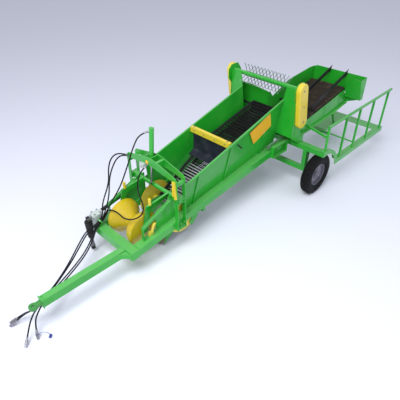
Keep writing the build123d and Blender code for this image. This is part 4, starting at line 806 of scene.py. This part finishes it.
def onPanel(x, z, out=0.0):
    # a point on the near wall's outer face
    top = wall["top"] + wall["slope"] * (wall["frontX"] - x)
    return at(x, wall["half"] + wall["flare"] * (z - top) + out, z)


label = {
    "corners": [(1.015, 1.113), (0.570, 1.295), (0.683, 1.574), (1.182, 1.390)],
    "rounding": 0.015,
    "thickness": 0.003,
    "edge": 0.0005,
    "standOff": 0.0185,
    "inset": 0.034,
    "spacer": [(0, 0), (0.009, 0), (0.009, 0.0175), (0.008, 0.0185), (0, 0.0185)],
    "screw": [(0, 0.0215), (0.0055, 0.0215), (0.0044, 0.023975), (0, 0.0248)],
}


def labelPlate():
    bm = bmesh.new()
    corners = [onPanel(x, z, label["standOff"]) for x, z in label["corners"]]
    slab(bm, roundedOutline(corners, label["rounding"]), panelFacing, label["thickness"], label["edge"])
    return bm


def labelScrews():
    # a spacer behind the plate and a domed screw before it, at each corner
    bm = bmesh.new()
    corners = [onPanel(x, z) for x, z in label["corners"]]
    middle = sum(corners, Vector()) / len(corners)
    for corner in corners:
        where = along(corner + (middle - corner).normalized() * label["inset"], panelFacing)
        for profile in (label["spacer"], label["screw"]):
            lathe(bm, profile, where, 20)
    return bm


slot = {"start": (1.442, 1.277), "stop": (1.310, 1.154), "radius": 0.014, "steps": 12, "height": 0.0012,
        "edge": 0.0004}


def slotShadePlate():
    # painted shade: a dark plate with round ends, standing just proud of the panel, where the slot's shaded
    # opening is
    bm = bmesh.new()
    start, stop = onPanel(*slot["start"]), onPanel(*slot["stop"])
    ahead = (stop - start).normalized()
    across = panelFacing.cross(ahead).normalized()
    outline = []
    for centre, sign in ((stop, 1), (start, -1)):
        for k in range(slot["steps"] + 1):
            angle = math.pi * k / slot["steps"] - math.pi / 2
            way = ahead * math.cos(angle) + across * math.sin(angle)
            outline.append(centre + way * slot["radius"] * sign)
    slab(bm, outline, panelFacing, slot["height"], slot["edge"])
    return bm


# the rod along the panel's lower rim: thicker ends and a clamp near each
rimRod = {
    "start": (0.645, 0.462, 0.907),
    "stop": (0.135, 0.462, 1.009),
    "end": [(0, 0), (0.009, 0), (0.010, 0.002), (0.010, 0.060), (0.008, 0.064)],
    "clampsAt": (0.02, 0.98),
    "clamp": [(0, -0.050), (0.013, -0.050), (0.013, 0.014), (0.010, 0.017), (0, 0.017)],
}


def panelRod():
    bm = bmesh.new()
    start, stop = at(*rimRod["start"]), at(*rimRod["stop"])
    run = (stop - start).length
    otherEnd = [(radius, run - distance) for radius, distance in reversed(rimRod["end"])]
    lathe(bm, rimRod["end"] + otherEnd, along(start, stop - start), 20)
    for share in rimRod["clampsAt"]:
        lathe(bm, rimRod["clamp"], along(start.lerp(stop, share), (0, 1, 0)), 20)
    return bm


piece("labelPlate", labelPlate(), "orangePaint")
piece("labelScrews", labelScrews(), "bareSteel")
# painted shade of the slot, in black plastic
piece("slotShadePlate", slotShadePlate(), "blackPlastic")
piece("panelRod", panelRod(), "brightSteel")

# yellow lock handle on the near beam, with its base plate; outlines in (x, z)
lock = {
    "handle": {
        "outline": [(3.248, 0.590), (3.262, 0.588), (3.226, 0.700), (3.206, 0.722), (3.182, 0.726),
                    (3.170, 0.712), (3.196, 0.690), (3.214, 0.662)],
        "y": 0.405, "depth": 0.030, "edge": 0.004,
    },
    "base": {
        "outline": [(3.20, 0.522), (3.30, 0.511), (3.30, 0.602), (3.215, 0.602)],
        "y": 0.392, "depth": 0.012, "edge": 0.002,
    },
}


def lockHandle():
    bm = bmesh.new()
    for plate in lock.values():
        corners = [at(x, plate["y"], z) for x, z in plate["outline"]]
        slab(bm, corners, (0, 1, 0), plate["depth"], plate["edge"])
    return bm


# orange reflector on the arch's front plate
lens = {
    "place": (2.8615, -0.070, 1.367),
    "profile": [(0, 0), (0.030, 0), (0.030, 0.006), (0.026, 0.010), (0.012, 0.012), (0, 0.0125)],
}
piece("lockHandle", lockHandle(), "yellowPaint")
piece("archReflector", turned(lens["profile"], along(at(*lens["place"]), (1, 0, 0)), 32), "orangePaint")

# the small manifold on the arch beside the cylinder
manifold = {
    "x": 2.862,
    "y": (-0.200, -0.110),
    "z": (1.250, 1.330),
    "rounding": 0.008,
    "depth": 0.046,
    "edge": 0.004,
    "bolts": [(-0.182, 1.270), (-0.128, 1.310)],
    "boltSize": 0.008,
    "plugAt": (-0.155, 1.290),
    "plug": [(0, 0), (0.014, 0), (0.014, 0.018), (0.011, 0.022), (0, 0.022)],
}


def valveBlock():
    bm = bmesh.new()
    forward = (1, 0, 0)
    (left, right), (low, high) = manifold["y"], manifold["z"]
    x, front = manifold["x"], manifold["x"] + manifold["depth"]
    corners = [at(x, left, low), at(x, right, low), at(x, right, high), at(x, left, high)]
    slab(bm, roundedOutline(corners, manifold["rounding"]), forward, manifold["depth"], manifold["edge"])
    for y, z in manifold["bolts"]:
        bolt(bm, at(front, y, z), forward, manifold["boltSize"])
    lathe(bm, manifold["plug"], along(at(front, *manifold["plugAt"]), forward), 24)
    return bm


piece("valveBlock", valveBlock(), "greyCasting")
print("panel and arch details")


# bolts in groups of one look, each of rows; a bolt is its place, the way it faces and its size
def boltRow(xs, ys, zs, facing, size):
    return [(at(x, y, z), facing, size) for y in ys for z in zs for x in xs]


def boltLine(places, y, facing, size):
    return [(at(x, y, z), facing, size) for x, z in places]


def boltCircle(place, radius, count, facing, size):
    x, y, z = place
    angles = [math.pi * (k + 0.5) / (count / 2) for k in range(count)]
    return [(at(x, y + radius * math.sin(a), z + radius * math.cos(a)), facing, size) for a in angles]


sides = (-1, 1)
beamSlope = 0.117
archRows = [
    row
    for side in sides
    for row in (
        boltRow((2.745, 2.810), (side * 0.552,), (0.474, 0.556), (0, side, 0), 0.012),
        boltRow((2.735, 2.825), (side * 0.552,), (0.925, 0.975), (0, side, 0), 0.011),
        boltRow((2.975, 3.085), (side * 0.376,), (0.640,), (0, side, 0), 0.011),
    )
]
boltGroups = {
    "arch": ("greenPaint", archRows),
    "frame": ("greenPaint", [
        boltRow((3.355,), (-0.398, 0.398), (0.517 - beamSlope * 0.02,), (beamSlope, 0, 1), 0.012),
        boltRow((4.905,), (0.275, 0.329), (0.485,), (0, 0, 1), 0.013),
        boltLine([(4.875, 0.450), (4.875, 0.400), (4.820, 0.425)], 0.352, (0, 1, 0), 0.012),
    ]),
    "guards": ("bareSteel", [
        boltLine([(0.160, 1.340), (0.2125, 1.626), (0.265, 1.912)], side * 0.778, (0, side, 0), 0.012)
        for side in sides
    ]),
    "table": ("bareSteel", [
        boltLine([(-0.22, 1.225), (-0.45, 1.262), (-0.68, 1.300), (-0.91, 1.335), (-1.13, 1.372),
                  (-1.30, 1.400)], 0.704, (0, 1, 0), 0.010),
        boltRow((-1.451,), (0.10, 0.40, 0.66), (1.690,), (-1, 0, 0), 0.010),
        boltRow((-1.451,), (-0.020, 0.300, 0.640), (1.240,), (-1, 0, 0), 0.010),
    ]),
    "gearboxes": ("bareSteel", [
        boltRow((3.565, 3.655), (-0.470, -0.380), (0.685,), (0, 0, 1), 0.010),
        boltCircle((3.697, -0.425, 0.640), 0.038, 6, (1, 0, 0), 0.005),
    ]),
    "bar": ("bareSteel", [
        boltRow((1.650,), (-0.33, -0.12, 0.12, 0.33), (1.328,), (1, 0, 0), 0.009),
        boltRow((1.620,), (-0.36, 0.36), (1.373,), (0, 0, 1), 0.011),
    ]),
    "hangers": ("greenPaint", [
        boltRow((-0.030, 0.030), (side * 0.880,), (0.455, 0.540), (0, side, 0), 0.011) for side in sides
    ]),
}
turnPerBolt = 0.7
for name, (look, rows) in boltGroups.items():
    bm = bmesh.new()
    placed = [spot for row in rows for spot in row]
    for k, (place, direction, size) in enumerate(placed):
        bolt(bm, place, direction, size, turnPerBolt * k)
    piece("bolts_" + name, bm, look)

# flange bearings at the table's rear roller
bearing = {
    "near": ((-1.370, 0.704, 1.441), (0, 1, 0)),
    "far": ((-1.370, -0.066, 1.441), (0, -1, 0)),
}
flange = {
    "half": 0.042,
    "rounding": 0.5,
    "thickness": 0.012,
    "edge": 0.003,
    "hub": [(0, 0.010), (0.02856, 0.010), (0.02628, 0.026), (0.01571, 0.028), (0.01428, 0.024),
            (0.012, 0.024), (0.012, 0.036), (0, 0.037)],
    "boltAt": 0.72,
    "boltSize": 0.008,
}


def flangeBearing(place, direction):
    bm = bmesh.new()
    direction, size = Vector(direction), flange["half"]
    up, across = Vector((0, 0, 1)), direction.cross(Vector((0, 0, 1)))
    diagonals = [up * a + across * b for a, b in ((-1, -1), (-1, 1), (1, 1), (1, -1))]
    outline = roundedOutline([place + way * size for way in diagonals], size * flange["rounding"], 8)
    slab(bm, outline, direction, flange["thickness"], flange["edge"])
    lathe(bm, flange["hub"], along(place, direction), 36)
    for way in diagonals:
        spot = place + direction * flange["thickness"] + way * size * flange["boltAt"]
        bolt(bm, spot, direction, flange["boltSize"])
    return bm


for name, (place, direction) in bearing.items():
    piece("bearing_" + name, flangeBearing(at(*place), direction), "greyCasting")

# hanging drive shaft: ribs on the cone guard, a plain tube below it and the end's collar
cardan = {
    "joint": (3.757, -0.425, 0.640),
    "cone": (0.046, 0.340),
    "ribs": 9,
    "ribRadius": 0.056,
    "ribNarrows": 0.014,
    "ribProfile": [(-0.002, -0.009), (0.004, -0.003), (0.004, 0.003), (-0.002, 0.009)],
    "tube": [(0.0262, 0.342), (0.0300, 0.342), (0.0300, 0.356), (0.0275, 0.359), (0.0275, 0.470),
             (0.0300, 0.473), (0.0300, 0.492), (0.0340, 0.496), (0.0340, 0.508), (0.0262, 0.509)],
}
belowJoint = along(at(*cardan["joint"]), (0, 0, -1))


def cardanRibs():
    bm = bmesh.new()
    start, stop = cardan["cone"]
    for k in range(cardan["ribs"]):
        share = (k + 0.5) / cardan["ribs"]
        distance = start + (stop - start) * share
        radius = cardan["ribRadius"] - cardan["ribNarrows"] * share
        lathe(bm, [(radius + out, distance + down) for out, down in cardan["ribProfile"]], belowJoint, 40)
    return bm


piece("cardanRibs", cardanRibs(), "blackPlastic", "cardan")
piece("cardanTube", turned(cardan["tube"], belowJoint, 36), "rimPaint", "cardan")

# the rotor's painted tube with a clamp at each row of tines
rotor = {
    "x": 0.265,
    "z": 1.912,
    "radius": 0.0356,
    "bore": 0.0352,
    "half": 0.680,
    "endGap": 0.002,
    "tines": 12,
    "span": 0.800,
    "clamp": [(0, -0.013), (0.007, -0.011), (0.007, 0.011), (0, 0.013)],
}


def rotorTube():
    where = along(at(rotor["x"], -rotor["half"], rotor["z"]), (0, 1, 0))
    radius, bore, gap = rotor["radius"], rotor["bore"], rotor["endGap"]
    profile = [(bore, gap), (radius, gap)]
    for k in range(rotor["tines"]):
        middle = rotor["half"] - rotor["span"] / 2 + rotor["span"] * k / (rotor["tines"] - 1)
        profile += [(radius + out, middle + distance) for out, distance in rotor["clamp"]]
    run = 2 * rotor["half"]
    return turned(profile + [(radius, run - gap), (bore, run - gap)], where, 40)


piece("rotorTube", rotorTube(), "greenPaint", "rotor")

# sheet behind the web's upper end, from the head's far plate to the table's far wall
endSheet = {
    "x": 0.027,
    "outline": [(-0.686, 1.090), (-0.070, 1.090), (-0.070, 1.590), (-0.440, 1.630), (-0.686, 1.630)],
    "returned": [(0, 1.090), (0, 1.590), (-0.040, 1.590), (-0.137, 1.470), (-0.137, 1.100)],
    "thickness": 0.003,
    "edge": 0.0005,
    "fold": 0.016,
    "boltSize": 0.009,
    "sideBolts": {"x": -0.085, "z": (1.13, 1.28, 1.42)},
    "footBolts": {"y": (-0.60, -0.35, -0.14), "z": 1.110},
}


def endSheetPlates():
    bm = bmesh.new()
    values = endSheet
    x, thick, edge = values["x"], values["thickness"], values["edge"]
    front, rear, near = x + thick, x - values["fold"], values["outline"][1][0]
    slab(bm, [at(x, y, z) for y, z in values["outline"]], (1, 0, 0), thick, edge)
    slab(bm, [at(x + back, near, z) for back, z in values["returned"]], (0, 1, 0), thick, edge)
    rim = values["outline"][2:]
    for (lowY, lowZ), (highY, highZ) in zip(rim, rim[1:]):
        fold = [at(front, lowY, lowZ), at(front, highY, highZ), at(rear, highY, highZ), at(rear, lowY, lowZ)]
        slab(bm, fold, (0, 0, 1), thick, edge)
    for z in values["sideBolts"]["z"]:
        bolt(bm, at(values["sideBolts"]["x"], near + thick, z), (0, 1, 0), values["boltSize"])
    for y in values["footBolts"]["y"]:
        bolt(bm, at(front, y, values["footBolts"]["z"]), (1, 0, 0), values["boltSize"])
    return bm


piece("endSheet", endSheetPlates(), "greenPaint")

# plough bolts on the share
ploughShare = {
    "foot": (2.955, 0, 0.028),
    "slope": (-0.415, 0, 0.316),
    "boltsY": (-0.19, 0, 0.19),
    "boltsUp": (0.14, 0.40),
    "bolt": [(0, 0), (0.014, 0), (0.012, 0.003), (0.006, 0.0042), (0, 0.0045)],
}


def shareBolts():
    bm = bmesh.new()
    slope = Vector(ploughShare["slope"]).normalized()
    facing = Vector((slope.z, 0, -slope.x))
    for y in ploughShare["boltsY"]:
        for distance in ploughShare["boltsUp"]:
            spot = at(*ploughShare["foot"]) + slope * distance + Vector((0, y, 0))
            lathe(bm, ploughShare["bolt"], along(spot, facing), 20)
    return bm


# rivets round the disc coulters' hubs
coulter = {
    "x": 2.560,
    "y": 0.336,
    "z": 0.460,
    "rivets": 5,
    "circle": 0.062,
    "rivet": [(0, 0), (0.009, 0), (0.008, 0.003), (0, 0.004)],
}


def coulterRivets(side):
    bm = bmesh.new()
    outward = Vector((0, side, 0))
    middle = at(coulter["x"], side * coulter["y"], coulter["z"])
    for k in range(coulter["rivets"]):
        angle = 2 * math.pi * k / coulter["rivets"]
        lathe(bm, coulter["rivet"], along(middle + spoke(angle, coulter["circle"]), outward), 16)
    return bm


piece("shareBolts", shareBolts(), "bareSteel")
for name, side in (("left", 1), ("right", -1)):
    piece("coulterRivets_" + name, coulterRivets(side), "brightSteel", "coulter_" + name)

# weld beads where the frame's pieces meet
weld = {
    "radius": 0.005,
    "step": 0.8,
    "least": 0.86,
    "ripple": (0.14, 1.3),  # height and rate
    "uneven": (0.06, 9),  # height and noise scale
    "drawbar": {"x": 3.681, "y": (0.252, 0.352), "z": (0.366, 0.484), "top": 0.485},
    "beams": {"y": (0.350, 0.490), "front": (3.539, 0.489), "rear": (0.060, 0.896)},
    "arch": {"x": (2.699, 2.863), "y": 0.491, "z": (0.434, 0.600)},
    "posts": {"x": (0.0, -0.598, -1.085, -1.615, -2.216), "half": 0.017, "y": (1.178, 1.212), "top": 1.316,
              "foot": 0.530},
}


def weldBead(bm, start, stop):
    radius = weld["radius"]
    run = (stop - start).length
    count = max(3, round(run / (radius * weld["step"])))
    (high, rate), (rough, scale) = weld["ripple"], weld["uneven"]
    profile = [(0, 0)]
    for k in range(count + 1):
        swell = weld["least"] + high * abs(math.sin(k * rate))
        swell += rough * noise.noise(start * scale + Vector((k, 0, 0)))
        profile.append((radius * swell, run * k / count))
    lathe(bm, profile + [(0, run)], along(start, stop - start), 8)


def seamPlaces():
    drawbar, beams, arch, posts = (weld[key] for key in ("drawbar", "beams", "arch", "posts"))
    (left, right), (low, high) = drawbar["y"], drawbar["z"]
    seams = [((drawbar["x"], y, low), (drawbar["x"], y, high)) for y in drawbar["y"]]
    seams.append(((drawbar["x"], left, drawbar["top"]), (drawbar["x"], right, drawbar["top"])))
    for side in sides:
        inner, outer = (side * y for y in beams["y"])
        (frontX, frontZ), (rearX, rearZ) = beams["front"], beams["rear"]
        seams.append(((frontX, inner, frontZ), (frontX, outer, frontZ)))
        for x in arch["x"]:
            seams.append(tuple((x, side * arch["y"], z) for z in arch["z"]))
        seams.append(((rearX, inner, rearZ), (rearX, outer, rearZ)))
    for postX in posts["x"]:
        for x in (postX - posts["half"], postX + posts["half"]):
            seams.append(tuple((x, y, posts["top"]) for y in posts["y"]))
            if postX < 0:  # the front post stands on the wheel arch
                seams.append(tuple((x, y, posts["foot"]) for y in posts["y"]))
    return seams


def welds():
    bm = bmesh.new()
    for start, stop in seamPlaces():
        weldBead(bm, at(*start), at(*stop))
    return bm


piece("weldBeads", welds(), "greenPaint")
print("bolts, bearings, drive and welds")

# floor and light
studio = {
    "floorColour": (0.80, 0.82, 0.93),
    "floorRoughness": 0.9,
    "floorSize": 120,
    "worldColour": (0.90, 0.92, 1.0),
    "worldStrength": 0.60,
    "lights": {
        "key": {"place": (6, 2, 9), "size": 5, "power": 900},
        "fill": {"place": (-4, 9, 7), "size": 8, "power": 190},
    },
}
floorMesh = bpy.data.meshes.new("studioFloor")
half = studio["floorSize"] / 2
corners = [(-half, -half, 0), (half, -half, 0), (half, half, 0), (-half, half, 0)]
floorMesh.from_pydata(corners, [], [(0, 1, 2, 3)])
floor = bpy.data.objects.new("studioFloor", floorMesh)
bpy.context.scene.collection.objects.link(floor)
Shader("studioFloor").finish(studio["floorColour"], studio["floorRoughness"])
floorMesh.materials.append(looks["studioFloor"])
world = bpy.data.worlds.new("studio")
world.use_nodes = True
background = world.node_tree.nodes["Background"]
background.inputs["Color"].default_value = (*studio["worldColour"], 1)
background.inputs["Strength"].default_value = studio["worldStrength"]
bpy.context.scene.world = world
for name, values in studio["lights"].items():
    lightData = bpy.data.lights.new(name, "AREA")
    lightData.size = values["size"]
    lightData.energy = values["power"]
    light = bpy.data.objects.new(name, lightData)
    light.location = values["place"]
    light.rotation_euler = (-Vector(values["place"])).to_track_quat("-Z", "Y").to_euler()
    bpy.context.scene.collection.objects.link(light)
print("floor and light")
